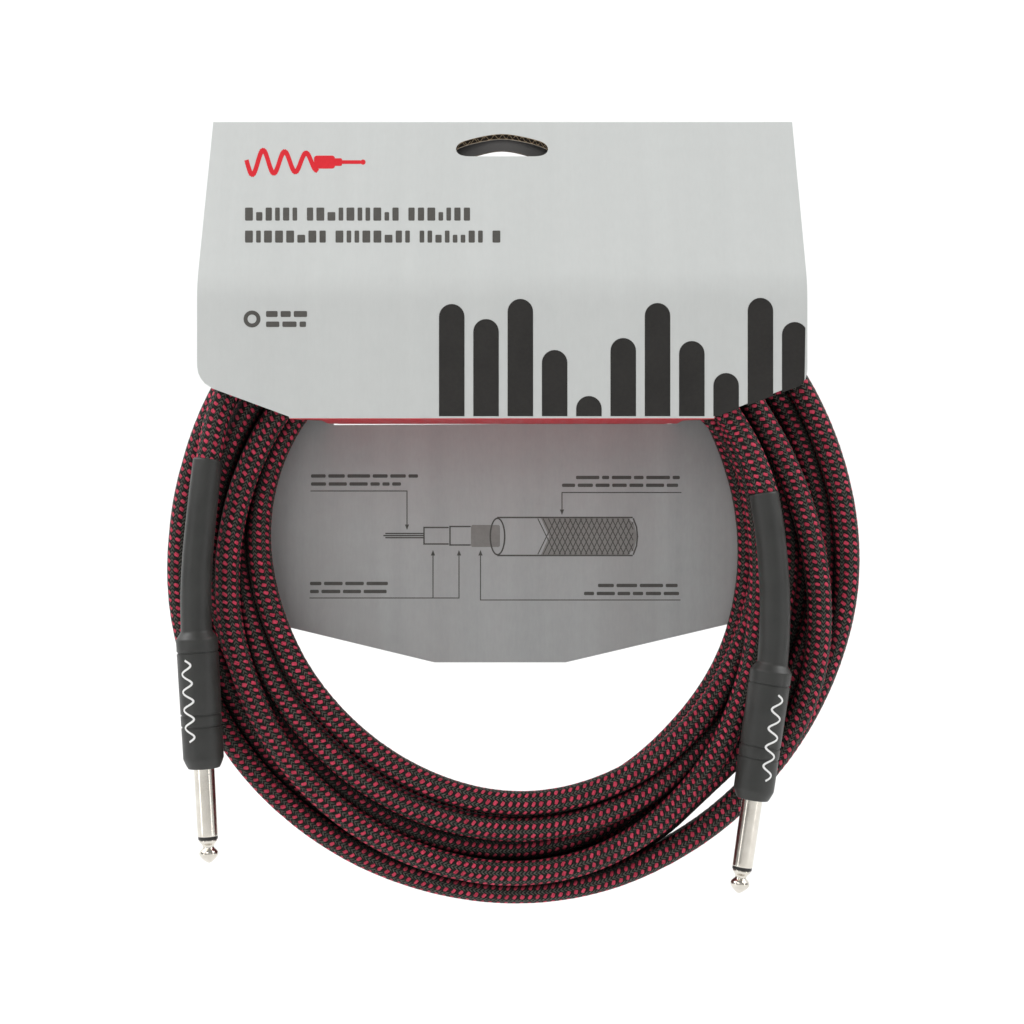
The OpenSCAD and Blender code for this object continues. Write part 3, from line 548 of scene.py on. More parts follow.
def make_cable():
    P = LINE
    n = len(P)
    sides = 20
    T, A, B = transport(P)
    twist = 0.0016 * 1.2 * np.arange(n) + 0.25 * np.sin(np.arange(n) * 1.2 / 310.0)
    A2 = np.cos(twist)[:, None] * A + np.sin(twist)[:, None] * B
    B2 = np.cross(T, A2)
    along = 1.2 * np.arange(n) / 2.43
    ang = np.arange(sides) / sides
    row = np.floor(ang * 8)
    fv = (ang * 8 - row - 0.5)[None, :]
    a = ((along[:, None] + 0.15 * row[None, :] + 0.5) % 1.0 - 0.5) * 2.43
    b = fv * 3.14
    e = 1 - (np.abs(a * 0.84 + b * 0.54) / 0.75) ** 2 - (np.abs(b * 0.84 - a * 0.54) / 1.15) ** 2
    bump = 0.10 * np.clip(e, 0, 1) + 0.02 * rng.standard_normal((n, sides))
    R = 3.93 + bump
    phi = ang * 2 * math.pi
    V = P[:, None, :] + R[:, :, None] * (np.cos(phi)[None, :, None] * A2[:, None, :] + np.sin(phi)[None, :, None] * B2[:, None, :])
    verts = V.reshape(-1, 3)
    i = np.arange(n - 1)[:, None]
    k = np.arange(sides)[None, :]
    k2 = (k + 1) % sides
    quads = np.stack([i * sides + k, i * sides + k2, (i + 1) * sides + k2, (i + 1) * sides + k], -1).reshape(-1, 4)
    u0 = np.broadcast_to(along[:-1, None], (n - 1, sides))
    u1 = np.broadcast_to(along[1:, None], (n - 1, sides))
    v0 = np.broadcast_to((ang * 8)[None, :], (n - 1, sides))
    v1 = v0 + 8 / sides
    uv = np.stack([np.stack([u0, v0], -1), np.stack([u0, v1], -1), np.stack([u1, v1], -1), np.stack([u1, v0], -1)], 2).reshape(-1, 2)
    faces = quads.tolist()
    faces.append(list(range(sides))[::-1])
    faces.append([(n - 1) * sides + q for q in range(sides)])
    uv = np.concatenate([uv, np.zeros((2 * sides, 2))])
    ob = add_mesh("cable", verts * MM, faces, M_WEAVE, uv, smooth=True)
    # how open each spot is, for the painted shade: close to a neighbouring turn the weave is painted darker
    tree = KDTree(n)
    for j, q in enumerate(P):
        tree.insert(Vector(q), j)
    tree.balance()
    out = P[:, None, :] + 7.4 * (np.cos(phi)[None, :, None] * A2[:, None, :] + np.sin(phi)[None, :, None] * B2[:, None, :])
    near = np.empty((n, sides))
    for j in range(n):
        for k_ in range(sides):
            near[j, k_] = tree.find(Vector(out[j, k_]))[2]
    near = (np.roll(near, 1, 1) + 2 * near + np.roll(near, -1, 1)) / 4
    op = np.clip((near - 2.2) / (6.6 - 2.2), 0, 1)
    att = ob.data.attributes.new("open", "FLOAT", "POINT")
    att.data.foreach_set("value", op.reshape(-1).astype(np.float32))
    return ob


cable = make_cable()
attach(cable, ROOT)
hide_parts("cable_coil", "plug_a_lead", "plug_b_lead")

# ------------------------------------------------------------------ plugs
PLUGS = {
    "plug_a": dict(nose=(-93.1, -30.4, -194.7), lean=-3.2, neck=[(-95.2, -30.4, -157.8), (-95.5, -30.4, -152.3), (-95.7, -30.3, -142), (-95.3, -30.0, -130), (-94.3, -29.6, -118), (-93.3, -29.1, -108), (-92.3, -28.6, -98.9)]),
    "plug_b": dict(nose=(78.1, -30.4, -204.4), lean=8.4, neck=[(83.5, -30.4, -167.8), (84.3, -30.4, -162.4), (85.0, -30.4, -154), (85.2, -30.3, -143), (84.7, -30.0, -132), (83.7, -29.5, -121), (82.0, -28.9, -109.5)]),
}
NB = 42.5


def groove(z0, hw=0.30, depth=0.28):
    return [(z0 - hw - 0.22, 0.0), (z0 - hw, -0.05), (z0 - hw + 0.12, -depth), (z0 + hw - 0.12, -depth), (z0 + hw, -0.05), (z0 + hw + 0.22, 0.0)]


def boot_profile():
    key = [(4.2, 0.0), (4.75, 0.02), (4.95, 0.10), (5.05, 0.28), (5.3, 0.75), (5.7, 1.65), (6.02, 2.4), (6.16, 2.8), (6.25, 3.1), (6.3, 3.45)]
    prof = list(key)
    grooves = [NB - 29.4, NB - 25.7, NB - 6.2]

    def body(z):
        f = (z - 3.3) / (NB - 2.3 - 3.3)
        return 6.3 + 0.2 * f
    zs = list(np.arange(4.2, NB - 2.6, 1.6))
    for g in grooves:
        zs = [z for z in zs if abs(z - g) > 0.9]
        zs += [z for z, _ in groove(g)]
    cut = {round(z, 4): d for g in grooves for z, d in groove(g)}
    for z in sorted(zs):
        prof.append((body(z) + cut.get(round(z, 4), 0.0), z))
    prof += [(6.5, NB - 2.4), (6.47, NB - 2.15), (6.38, NB - 1.95), (6.2, NB - 1.72), (5.85, NB - 1.2), (5.45, NB - 0.6), (5.15, NB - 0.2), (4.98, NB + 0.05), (4.88, NB + 0.3), (4.82, NB + 0.6)]
    return prof


TIP = [(2.45, -22.3), (2.78, -22.32), (2.86, -22.4), (2.86, -22.7), (2.8, -22.9), (2.55, -23.25), (2.2, -23.65), (1.92, -24.05), (1.8, -24.35), (1.76, -24.65), (1.8, -24.9), (1.95, -25.1), (2.3, -25.4), (2.65, -25.75),
       (2.88, -26.1), (2.97, -26.45), (2.98, -26.7), (2.96, -27), (2.86, -27.3), (2.66, -27.65), (2.3, -28.1), (1.85, -28.55), (1.4, -28.95), (0.98, -29.28), (0.7, -29.46), (0.42, -29.6), (0.15, -29.69)]
Z0 = -22.3
for pname, p in PLUGS.items():
    o = np.array(p["nose"], float)
    a_ = math.radians(p["lean"])
    ax = np.array([math.sin(a_), 0, math.cos(a_)])
    side = np.array([0.0, 1.0, 0.0])
    # boot: body along the axis, then the neck along the cable
    prof = boot_profile()
    Pb = np.array([o + ax * z for _, z in prof])
    Rb = np.array([r for r, _ in prof])
    body_end = Pb[-1]
    neck, _ = resample(np.array([o + ax * (NB - 1.0), o + ax * (NB + 0.6)] + [n_ for n_ in p["neck"] if np.linalg.norm(np.array(n_) - (o + ax * NB)) > 2.5 and np.dot(np.array(n_) - (o + ax * NB), ax) > 2.5]), 1.5)
    d_ = np.r_[0, np.cumsum(np.linalg.norm(np.diff(neck, axis=0), axis=1))]
    keep = (d_ > 3.0)
    neck, d_ = neck[keep], d_[keep]
    Rn = 4.82 - 0.22 * (d_ - 3.0) / (d_[-1] - 3.0)
    # rounded lip where the moulding ends on the cable
    endp, endd = neck[-1], (neck[-1] - neck[-2]) / np.linalg.norm(neck[-1] - neck[-2])
    lip = [(4.56, 0.25), (4.45, 0.45), (4.25, 0.58), (4.02, 0.62), (3.9, 0.6)]
    Pall = np.concatenate([Pb, neck, np.array([endp + endd * z for _, z in lip])])
    Rall = np.concatenate([Rb, Rn, np.array([r for r, _ in lip])])
    # frames: tangent of the smooth centreline, so the steps in the profile don't tilt the rings
    Tn = np.zeros_like(Pall)
    Tn[:len(Pb)] = ax
    nn = np.gradient(neck, axis=0)
    Tn[len(Pb):len(Pb) + len(neck)] = nn / np.linalg.norm(nn, axis=1)[:, None]
    Tn[len(Pb) + len(neck):] = endd
    B_ = np.cross(Tn, side)
    B_ /= np.linalg.norm(B_, axis=1)[:, None]
    A_ = np.cross(B_, Tn)
    boot = tube_mesh(pname + "_boot_look", Pall, Rall, 64, [M_BOOT], A=A_, B=B_, sharp=42)
    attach(boot, ROOT)
    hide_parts(pname + "_boot")
    # sleeve with rolled front edge
    sp = [(2.72, -21.3), (3.0, -21.3), (3.1, -21.26), (3.16, -21.16), (3.175, -21.0)] + [(3.175, z) for z in np.arange(-20, -0.5, 1.25)] + [(3.175, 0.0), (3.175, 1.2), (2.72, 1.2)]
    sl = tube_mesh(pname + "_sleeve_look", np.array([o + ax * z for _, z in sp]), np.array([r for r, _ in sp]), 72, [M_NICKEL], A=np.tile(side, (len(sp), 1)), B=np.tile(np.cross(ax, side), (len(sp), 1)), sharp=50)
    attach(sl, ROOT)
    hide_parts(pname + "_sleeve")
    rp = [(2.3, Z0), (2.98, Z0), (3.04, Z0 + 0.06), (3.06, Z0 + 0.2), (3.06, -21.5), (3.04, -21.36), (2.98, -21.3), (2.3, -21.3)]
    rn = tube_mesh(pname + "_ring_look", np.array([o + ax * z for _, z in rp]), np.array([r for r, _ in rp]), 72, [M_RING], A=np.tile(side, (len(rp), 1)), B=np.tile(np.cross(ax, side), (len(rp), 1)), sharp=50)
    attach(rn, ROOT)
    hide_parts(pname + "_insulator_ring")
    tp = TIP[::-1]
    ti = tube_mesh(pname + "_tip_look", np.array([o + ax * z for _, z in tp]), np.array([r for r, _ in tp]), 64, [M_NICKEL], A=np.tile(side, (len(tp), 1)), B=np.tile(np.cross(ax, side), (len(tp), 1)), sharp=45)
    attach(ti, ROOT)
    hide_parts(pname + "_tip_contact")
    p["made"] = [boot, sl, rn, ti]

# ------------------------------------------------------------------ the folded card
TY, TZ = -0.8, 12.4
CY, CZ_ = -32.2, -44.3
FY, FZ = -32.2, -85.1
dy, dz = CY - TY, CZ_ - TZ
LU = math.hypot(dy, dz)
dirU = (dy / LU, dz / LU)
nU = (dirU[1], -dirU[0])            # outward, towards the viewer and up
TURN = math.pi - math.atan2(-dirU[0], -dirU[1])
A1 = 0.45 * TURN
BEND = math.atan2(-dirU[0], -dirU[1])
RC = 20.0
TAN = RC * math.tan(BEND / 2)
S2 = A1 + LU - TAN                  # crease arc begins
S3 = S2 + RC * BEND                 # crease arc ends
S4 = S3 + (CZ_ - FZ) - TAN          # bottom fold begins
A2 = 0.45 * math.pi / 2
S5 = S4 + A2
S6 = S5 + (-0.3 - FY)


def step(x, a, b):
    t = np.clip((x - a) / (b - a), 0, 1)
    return t * t * (3 - 2 * t)


def card(x, s, off):
    """Place on the folded card. off 1 is the outer face, -1 the inner face; beyond that in mm as a tuple."""
    s = np.asarray(s, float)
    y = np.empty_like(s); z = np.empty_like(s); ny = np.empty_like(s); nz = np.empty_like(s)
    m = s <= 0
    y[m], z[m], ny[m], nz[m] = TY, TZ + s[m], 1.0, 0.0
    m = (s > 0) & (s <= A1)
    th = s[m] / A1 * TURN
    y[m], z[m], ny[m], nz[m] = TY, TZ, np.cos(th), np.sin(th)
    m = (s > A1) & (s <= S2)
    y[m], z[m], ny[m], nz[m] = TY + (s[m] - A1) * dirU[0], TZ + (s[m] - A1) * dirU[1], -math.sin(math.pi / 2 - BEND), math.cos(math.pi / 2 - BEND)
    m = (s > S2) & (s <= S3)
    th = (s[m] - S2) / RC
    # centre of the arc lies behind the card
    n0 = np.array([-math.cos(BEND), math.sin(BEND)])
    p0 = np.array([TY, TZ]) + (S2 - A1) * np.array(dirU)
    c = p0 - RC * n0
    ang = BEND - th
    ny[m], nz[m] = -np.cos(ang), np.sin(ang)
    y[m], z[m] = c[0] + RC * ny[m], c[1] + RC * nz[m]
    m = (s > S3) & (s <= S4)
    y[m], z[m], ny[m], nz[m] = CY, CZ_ - TAN - (s[m] - S3), -1.0, 0.0
    m = (s > S4) & (s <= S5)
    th = (s[m] - S4) / A2 * math.pi / 2
    y[m], z[m], ny[m], nz[m] = FY, FZ, -np.cos(th), -np.sin(th)
    m = s > S5
    y[m], z[m], ny[m], nz[m] = FY + (s[m] - S5), FZ, 0.0, -1.0
    dT = np.where(s < 0, -s, s - A1)
    kT = 1 - step(dT, 1.6, 3.8)
    dF = np.where(s < (S4 + S5) / 2, S4 - s, s - S5)
    kF = 1 - step(dF, 0.25, 1.15)
    inner = -0.8 + 0.9 * np.maximum(kT, kF)
    if isinstance(off, tuple):
        o_ = (0.8 if off[0] > 0 else inner) + off[1]
    else:
        o_ = np.where(np.asarray(off) > 0, 0.8, inner)
    return np.stack([np.asarray(x, float), y + ny * o_, z + nz * o_], -1)


def inside(poly, pts):
    x, y = pts[:, 0], pts[:, 1]
    c = np.zeros(len(pts), bool)
    q = np.asarray(poly)
    j = len(q) - 1
    for i in range(len(q)):
        cond = ((q[i, 1] > y) != (q[j, 1] > y))
        with np.errstate(divide="ignore", invalid="ignore"):
            xx = (q[j, 0] - q[i, 0]) * (y - q[i, 1]) / (q[j, 1] - q[i, 1]) + q[i, 0]
        c ^= cond & (x < xx)
        j = i
    return c


def flat_mesh(outers, holes, rows, cols=()):
    """Triangles of flat outlines with holes, cut along the given rows and columns."""
    V, E = [], []
    for poly in list(outers) + list(holes):
        b0 = len(V)
        V += [tuple(q) for q in poly]
        E += [(b0 + i, b0 + (i + 1) % len(poly)) for i in range(len(poly))]
    allp = np.concatenate([np.asarray(q, float) for q in outers])
    x0, y0 = allp.min(0) - 0.7
    x1, y1 = allp.max(0) + 0.7
    for r in rows:
        if y0 < r < y1:
            b0 = len(V)
            V += [(x0, r), (x1, r)]
            E.append((b0, b0 + 1))
    for c_ in cols:
        if x0 < c_ < x1:
            b0 = len(V)
            V += [(c_, y0), (c_, y1)]
            E.append((b0, b0 + 1))
    out = delaunay_2d_cdt([Vector(v) for v in V], E, [], 0, 1e-5)
    P = np.array([tuple(v) for v in out[0]])
    F = np.array([tuple(f) for f in out[2]])
    cen = P[F].mean(1)
    ok = np.zeros(len(F), bool)
    for q in outers:
        ok |= inside(q, cen)
    for q in holes:
        ok &= ~inside(q, cen)
    a = P[F]
    area = np.abs((a[:, 1, 0] - a[:, 0, 0]) * (a[:, 2, 1] - a[:, 0, 1]) - (a[:, 2, 0] - a[:, 0, 0]) * (a[:, 1, 1] - a[:, 0, 1]))
    F = F[ok & (area > 1e-7)]
    used = np.unique(F)
    new = -np.ones(len(P), int)
    new[used] = np.arange(len(used))
    P, F = P[used], new[F]
    a = P[F]
    flip = ((a[:, 1, 0] - a[:, 0, 0]) * (a[:, 2, 1] - a[:, 0, 1]) - (a[:, 2, 0] - a[:, 0, 0]) * (a[:, 1, 1] - a[:, 0, 1])) < 0
    F[flip] = F[flip][:, ::-1]
    return P, F


def rim(F):
    seen = {}
    for f in F:
        for a, b in ((f[0], f[1]), (f[1], f[2]), (f[2], f[0])):
            seen[(a, b)] = 1
    return [(a, b) for (a, b) in seen if (b, a) not in seen]


def arc(cx, cy, r, a0, a1, n=10):
    return [(cx + r * math.cos(math.radians(a0 + (a1 - a0) * i / n)), cy + r * math.sin(math.radians(a0 + (a1 - a0) * i / n))) for i in range(n + 1)]


def board(name, outer, holes, rows, cols, red_from=1e9, bevel=None):
    P, F = flat_mesh([outer], holes, rows, cols)
    n = len(P)
    front = card(P[:, 0], P[:, 1], 1)
    Q = P.copy()
    if bevel is not None:       # the punched edge slopes, so more of it shows under the upper rim
        on = np.zeros(n, bool)
        on[np.unique(np.array(rim(F)))] = True
        on &= (np.abs(P[:, 0]) < 16) & (P[:, 1] > bevel - 7) & (P[:, 1] < bevel)
        Q[on, 1] += 0.95 * np.clip((bevel - P[on, 1]) / 2.0, 0, 1)
    back = card(Q[:, 0], Q[:, 1], -1)
    verts = np.concatenate([front, back])
    faces, uv, mi = [], [], []
    # (x, s) seen from outside: x to the right and s downwards, so the flat winding is turned round
    for f in F:
        faces.append((f[0], f[2], f[1]))
        uv += [(P[f[0], 0] / 100, P[f[0], 1] / 100), (P[f[2], 0] / 100, P[f[2], 1] / 100), (P[f[1], 0] / 100, P[f[1], 1] / 100)]
        mi.append(2 if P[f, 1].mean() > red_from else 0)
        faces.append((n + f[0], n + f[1], n + f[2]))
        uv += [(P[q, 0] / 100 + 3, P[q, 1] / 100) for q in f]
        mi.append(1)
    for a, b in rim(F):
        d = math.hypot(*(P[b] - P[a]))
        s0 = (P[a, 0] + P[a, 1]) / 100
        s1 = s0 + (d / 100 if (P[b] - P[a]).sum() > 0 else -d / 100)
        faces.append((a, b, n + b, n + a))
        uv += [(s0, 1.0), (s1, 1.0), (s1, -1.0), (s0, -1.0)]
        mi.append(3)
    return add_mesh(name, verts * MM, faces, [M_FRONT, M_INNER, M_RED, M_EDGE], uv, mat_index=mi, smooth=True, sharp=35)


W2 = 94.9
SA = A1 + 34.0                       # piece 1 meets piece 2
SB = S3 + 14.0                       # piece 2 meets piece 3


def hole_shape(cs, up):
    """Hang hole: a wide slot with an arched top."""
    half = [(0.0, 5.6), (1.9, 5.5), (3.8, 5.2), (6.0, 4.7), (8.1, 4.12), (10.3, 3.42), (12.2, 2.7), (13.2, 2.2), (13.95, 1.6), (14.55, 0.8), (14.9, -0.1), (14.95, -1.0), (14.7, -1.9), (14.1, -2.7), (13.2, -3.3), (12.0, -3.62), (10.6, -3.75), (5.0, -3.78)]
    pts = half + [(-x, y) for x, y in half[::-1] if x > 0]
    return [(x - 0.2, cs + up * y) for x, y in pts]


near_fold = [0.25, 0.6, 1.0, 1.5, 2.0, 2.5, 3.0, 3.5, 4.0]
rows1 = [-q for q in near_fold] + list(np.linspace(0, A1, 13)) + [A1 + q for q in near_fold]
rows1 += [-8 - 9.0 * i for i in range(19)] + [A1 + q for q in (7, 11, 16, 22, 28)]
cols1 = list(np.arange(-88, 89, 11.0))
r_ = 1.2
outer1 = [(-W2, SA), (-W2, -159.0 + r_)]
zb = lambda z: z - TZ
outer1 = [(-W2, SA), (-W2, zb(-146.6)), (-23.8, zb(-164.1) + 0.34), (-22.3, zb(-164.1)), (20.6, zb(-164.1)), (22.1, zb(-164.1) + 0.34), (W2, zb(-146.6)), (W2, SA)]
slot_hole = [(-55.5, zb(-86.3)), (0.0, zb(-85.97)), (55.5, zb(-85.95)), (55.5, zb(-83.9)), (-55.5, zb(-83.9))]
P1 = board("card_back_look", outer1, [hole_shape(A1 + 10.3, -1), hole_shape(zb(-2.0), 1), slot_hole], rows1, cols1, bevel=A1 + 10.3)
rows2 = list(np.linspace(S2, S3, 17)) + [SA + 6, SA + 12, SA + 18]
outer2 = [(-W2, SB), (-W2, SA), (W2, SA), (W2, SB)]
P2 = board("card_front_look", outer2, [], rows2, cols1)
zs_ = lambda z: S3 + (CZ_ - TAN) - z      # height on the upright front wall to distance along the card
rows3 = [S4 - q for q in (0.3, 0.6, 0.9, 1.2, 3, 7, 12)] + list(np.linspace(S4, S5, 9)) + [S5 + q for q in (0.3, 0.6, 0.9, 1.2, 3, 6, 12, 18, 24)]
left_c = [(-94.9, zs_(-68.0)), (-94.85, zs_(-69.7)), (-94.5, zs_(-71.6)), (-93.7, zs_(-73.3)), (-92.4, zs_(-74.9)), (-90.1, zs_(-76.4))]
right_c = [(66.0, S4), (93.0, zs_(-74.55)), (93.8, zs_(-74.1)), (94.3, zs_(-73.5)), (94.6, zs_(-72.4)), (94.9, zs_(-70.5))]
sy = lambda y: S5 + (y - FY)
outer3 = [(-W2, SB)] + left_c + [(-66.4, S4), (-66.0, S5), (-65.0, sy(-31.1)), (-58.2, sy(-25.5)), (-57.0, sy(-24.0)), (-57.0, sy(-3.4)), (-56.6, sy(-2.6)), (-54.0, sy(-2.2)), (-54.0, sy(-0.5)), (-53.6, sy(-0.3)),
          (53.6, sy(-0.3)), (54.0, sy(-0.5)), (54.0, sy(-2.2)), (56.6, sy(-2.6)), (57.0, sy(-3.4)), (57.0, sy(-24.0)), (58.2, sy(-25.5)), (65.0, sy(-31.1)), (66.0, S5)] + right_c + [(W2, SB)]
P3 = board("card_flap_look", outer3, [], rows3, cols1, red_from=(S4 + S5) / 2)


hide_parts("card_back_panel")
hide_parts("card_front_upper", "card_front_lower")
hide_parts("card_tuck_flap")
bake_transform(P1)
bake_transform(P2)
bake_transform(P3)


# ------------------------------------------------------------------ printing: plain shapes only, no lettering
def art_mesh(outers, holes, rows, clip):
    V, E = [], []
    for poly in list(outers) + list(holes) + ([clip] if clip else []):
        b0 = len(V)
        V += [tuple(q) for q in poly]
        E += [(b0 + i, b0 + (i + 1) % len(poly)) for i in range(len(poly))]
    allp = np.concatenate([np.asarray(q, float) for q in outers])
    x0, y0 = allp.min(0) - 0.5
    x1, y1 = allp.max(0) + 0.5
    for r in rows:
        if y0 < r < y1:
            b0 = len(V)
            V += [(x0, r), (x1, r)]
            E.append((b0, b0 + 1))
    out = delaunay_2d_cdt([Vector(v) for v in V], E, [], 0, 1e-5)
    P = np.array([tuple(v) for v in out[0]])
    F = np.array([tuple(f) for f in out[2]])
    cen = P[F].mean(1)
    ok = np.zeros(len(F), bool)
    for q in outers:
        ok |= inside(q, cen)
    for q in holes:
        ok &= ~inside(q, cen)
    if clip:
        ok &= inside(clip, cen)
    a = P[F]
    w = (a[:, 1, 0] - a[:, 0, 0]) * (a[:, 2, 1] - a[:, 0, 1]) - (a[:, 2, 0] - a[:, 0, 0]) * (a[:, 1, 1] - a[:, 0, 1])
    F[w < 0] = F[w < 0][:, ::-1]
    F = F[ok & (np.abs(w) > 1e-7)]
    used = np.unique(F)
    new = -np.ones(len(P), int)
    new[used] = np.arange(len(used))
    return P[used], new[F]


def print_on(name, layers, side, body, to_card, rows=(), clip=None):
    """Thin printed shapes lying on the card: layers are (material, outlines, holes, height)."""
    verts, faces, mats, mi, uv = [], [], [], [], []
    base = 0
    clip_c = [to_card(*q) for q in clip] if clip else None
    for mat, outers, holes, lift in layers:
        outers = [[to_card(*q) for q in poly] for poly in outers]
        holes = [[to_card(*q) for q in poly] for poly in holes]
        P, F = art_mesh(outers, holes, rows, clip_c)
        n = len(P)
        top = card(P[:, 0], P[:, 1], (side, side * lift))
        bot = card(P[:, 0], P[:, 1], (side, -side * 0.03))
        verts.append(top)
        verts.append(bot)
        if mat not in mats:
            mats.append(mat)
        k = mats.index(mat)
        for f in F:
            up = (f[0], f[2], f[1]) if side > 0 else tuple(f)
            faces.append(tuple(base + q for q in up))
            faces.append(tuple(base + n + q for q in up[::-1]))
            uv += [(P[q, 0] / 100, P[q, 1] / 100) for q in up] + [(P[q, 0] / 100, P[q, 1] / 100) for q in up[::-1]]
            mi += [k, k]
        for a, b in rim(F):
            q = (a, b, n + b, n + a)
            q = q if side > 0 else q[::-1]
            faces.append(tuple(base + j for j in q))
            uv += [(P[j % n, 0] / 100, P[j % n, 1] / 100) for j in q]
            mi.append(k)
        base += 2 * n
    ob = add_mesh(name, np.concatenate(verts) * MM, faces, mats, uv, mat_index=mi, smooth=False)
    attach(ob, body)
    return ob


def rect(x0, y0, x1, y1):
    return [(x0, y0), (x1, y0), (x1, y1), (x0, y1)]


def rrect(x0, y0, x1, y1, r):
    return arc(x0 + r, y0 + r, r, 180, 270, 5) + arc(x1 - r, y0 + r, r, 270, 360, 5) + arc(x1 - r, y1 - r, r, 0, 90, 5) + arc(x0 + r, y1 - r, r, 90, 180, 5)


def disc(x, y, r, n=40, sx=1.0):
    return [(x + sx * r * math.cos(2 * math.pi * i / n), y + r * math.sin(2 * math.pi * i / n)) for i in range(n)]


def stroke(points, w):
    out = []
    for (x0, y0), (x1, y1) in zip(points[:-1], points[1:]):
        d = math.hypot(x1 - x0, y1 - y0)
        ux, uy = (x1 - x0) / d, (y1 - y0) / d
        e = w / 2
        x0_, y0_, x1_, y1_ = x0 - ux * e, y0 - uy * e, x1 + ux * e, y1 + uy * e
        out.append([(x0_ - uy * e, y0_ + ux * e), (x1_ - uy * e, y1_ + ux * e), (x1_ + uy * e, y1_ - ux * e), (x0_ + uy * e, y0_ - ux * e)])
    return out


def words(x0, x1, y0, y1, seed, gap=4.5, lo=12, hi=38):
    """A line of plain bars of uneven length, where the card has a line of small print."""
    r = random.Random(seed)
    out, x = [], x0
    while x < x1 - 5:
        w = min(r.uniform(lo, hi), x1 - x)
        out.append(rrect(x, y0, x + w, y1, min(1.2, (y1 - y0) / 3)))
        x += w + gap
    return out


def on_lower(px, py):
    return (3.05 + (px - 512) / 3.2166, float(zs_(-114.8 + (512 - py) / 3.2166)))


def on_upper(px, py):
    q = seen_on(px, py, (0, TY + nU[0] * 0.85, TZ + nU[1] * 0.85), (0, nU[0], nU[1]))
    return (float(q[0]), float(A1 + (q[1] - TY) * dirU[0] + (q[2] - TZ) * dirU[1]))


def on_back(px, py):
    return (3.05 + (px - 512) / 3.0513, float(zb(-114.8 + (512 - py) / 3.0513)))


# upper front: badge and two lines of bars
def wave(x0, x1, yc, amp, period, n=90):
    return [(x0 + (x1 - x0) * i / n, yc + amp * (1 - 0.35 * i / n) * math.sin(2 * math.pi * (x1 - x0) * i / n / period)) for i in range(n + 1)]


def blocks(x0, x1, y0, y1, seed):
    """Words made of plain upright blocks, where the card has a line of capitals."""
    r = random.Random(seed)
    out, x, left = [], x0, r.randint(5, 9)
    while x < x1 - 4:
        w = r.choice((4.6, 6.2, 7.8))
        w = min(w, x1 - x)
        k = r.random()
        top = y0 if k < 0.8 else y0 + (y1 - y0) * 0.35
        out.append(rrect(x, top, x + w, y1, 1.0))
        x += w + 3.3
        left -= 1
        if left == 0:
            x += 6.5
            left = r.randint(5, 10)
    return out


mark = stroke(wave(247, 316, 162, 12.5, 21.5), 4.4) + [rrect(314, 155.5, 335, 168.5, 3), rrect(334, 158.2, 342, 165.8, 1.5), rrect(341, 160.2, 361, 163.8, 1), disc(363, 162, 2.6, 16)]
print_on("print_upper", [(M_INKRED, mark, [], 0.05),
                         (M_GREY, blocks(245, 470, 207.5, 220.5, 3), [], 0.05),
                         (M_GREY, blocks(245, 506, 230.5, 242.5, 9), [], 0.05)], 1, UPPER, on_upper)
# lower front: big dark shapes cropped by the card's edges, and a small mark on the left
big, hol = [], []
for k_, top_ in enumerate((304, 319, 299, 350, 396, 338, 303, 341, 373, 298, 322)):
    x_ = 439 + 34.3 * k_
    big.append(arc(x_ + 12.75, top_ + 12.75, 12.75, 180, 360, 14) + [(x_ + 25.5, 432), (x_, 432)])
print_on("print_lower", [(M_BLACK, big, hol, 0.05), (M_GREY, [disc(252, 319, 8.5, 26)] + words(266, 313, 311, 317, 4, 3, 9, 20) + words(266, 306, 321.5, 327, 5, 3, 9, 16), [disc(252, 319, 4.5, 20)], 0.05)],
         1, LOWER, on_lower, rows=list(np.linspace(S2, S3, 17)) + [S4 - q for q in (0.1, 0.5, 2, 6, 12, 20)], clip=[(230, 290), (806.0, 290), (804.6, 380), (800, 386), (718, 416.2), (230, 416.2)])
# a plain wavy line on each boot, where the photo has printing
for pname, phi0, z_hi, z_lo in (("plug_a", -27.0, 34.0, 9.0), ("plug_b", 24.0, 33.5, 7.0)):
    p = PLUGS[pname]
    o = np.array(p["nose"], float)
    a_ = math.radians(p["lean"])
    ax = np.array([math.sin(a_), 0, math.cos(a_)])
    rt = np.array([math.cos(a_), 0, -math.sin(a_)])
    n_ = 110
    pts = [(z_hi + (z_lo - z_hi) * i / n_, (1.9 - 0.7 * abs(i / n_ - 0.5)) * math.sin(2 * math.pi * 4.5 * i / n_)) for i in range(n_ + 1)]
    outl = stroke(pts, 0.62)
    P, F = art_mesh(outl, [], [], None)
    r0 = 6.3 + 0.2 * (P[:, 0] - 3.3) / (NB - 5.6)
    ang_ = math.radians(phi0) + P[:, 1] / 6.4
    n = len(P)
    vs = [o + ax * z + rr * (math.sin(f_) * rt + math.cos(f_) * np.array([0, -1.0, 0])) for h_ in (0.035, -0.03) for z, rr, f_ in zip(P[:, 0], r0 + h_, ang_)]
    fs = [tuple(f) for f in F] + [tuple(n + q for q in f[::-1]) for f in F] + [(b, a, n + a, n + b) for a, b in rim(F)]
    ob = add_mesh(pname + "_boot_mark", np.array(vs) * MM, fs, [M_WHITEINK], smooth=False)
    bm = bmesh.new()
    bm.from_mesh(ob.data)
    bmesh.ops.recalc_face_normals(bm, faces=bm.faces)
    bm.to_mesh(ob.data)
    bm.free()
    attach(ob, ROOT)
    p["made"].append(ob)

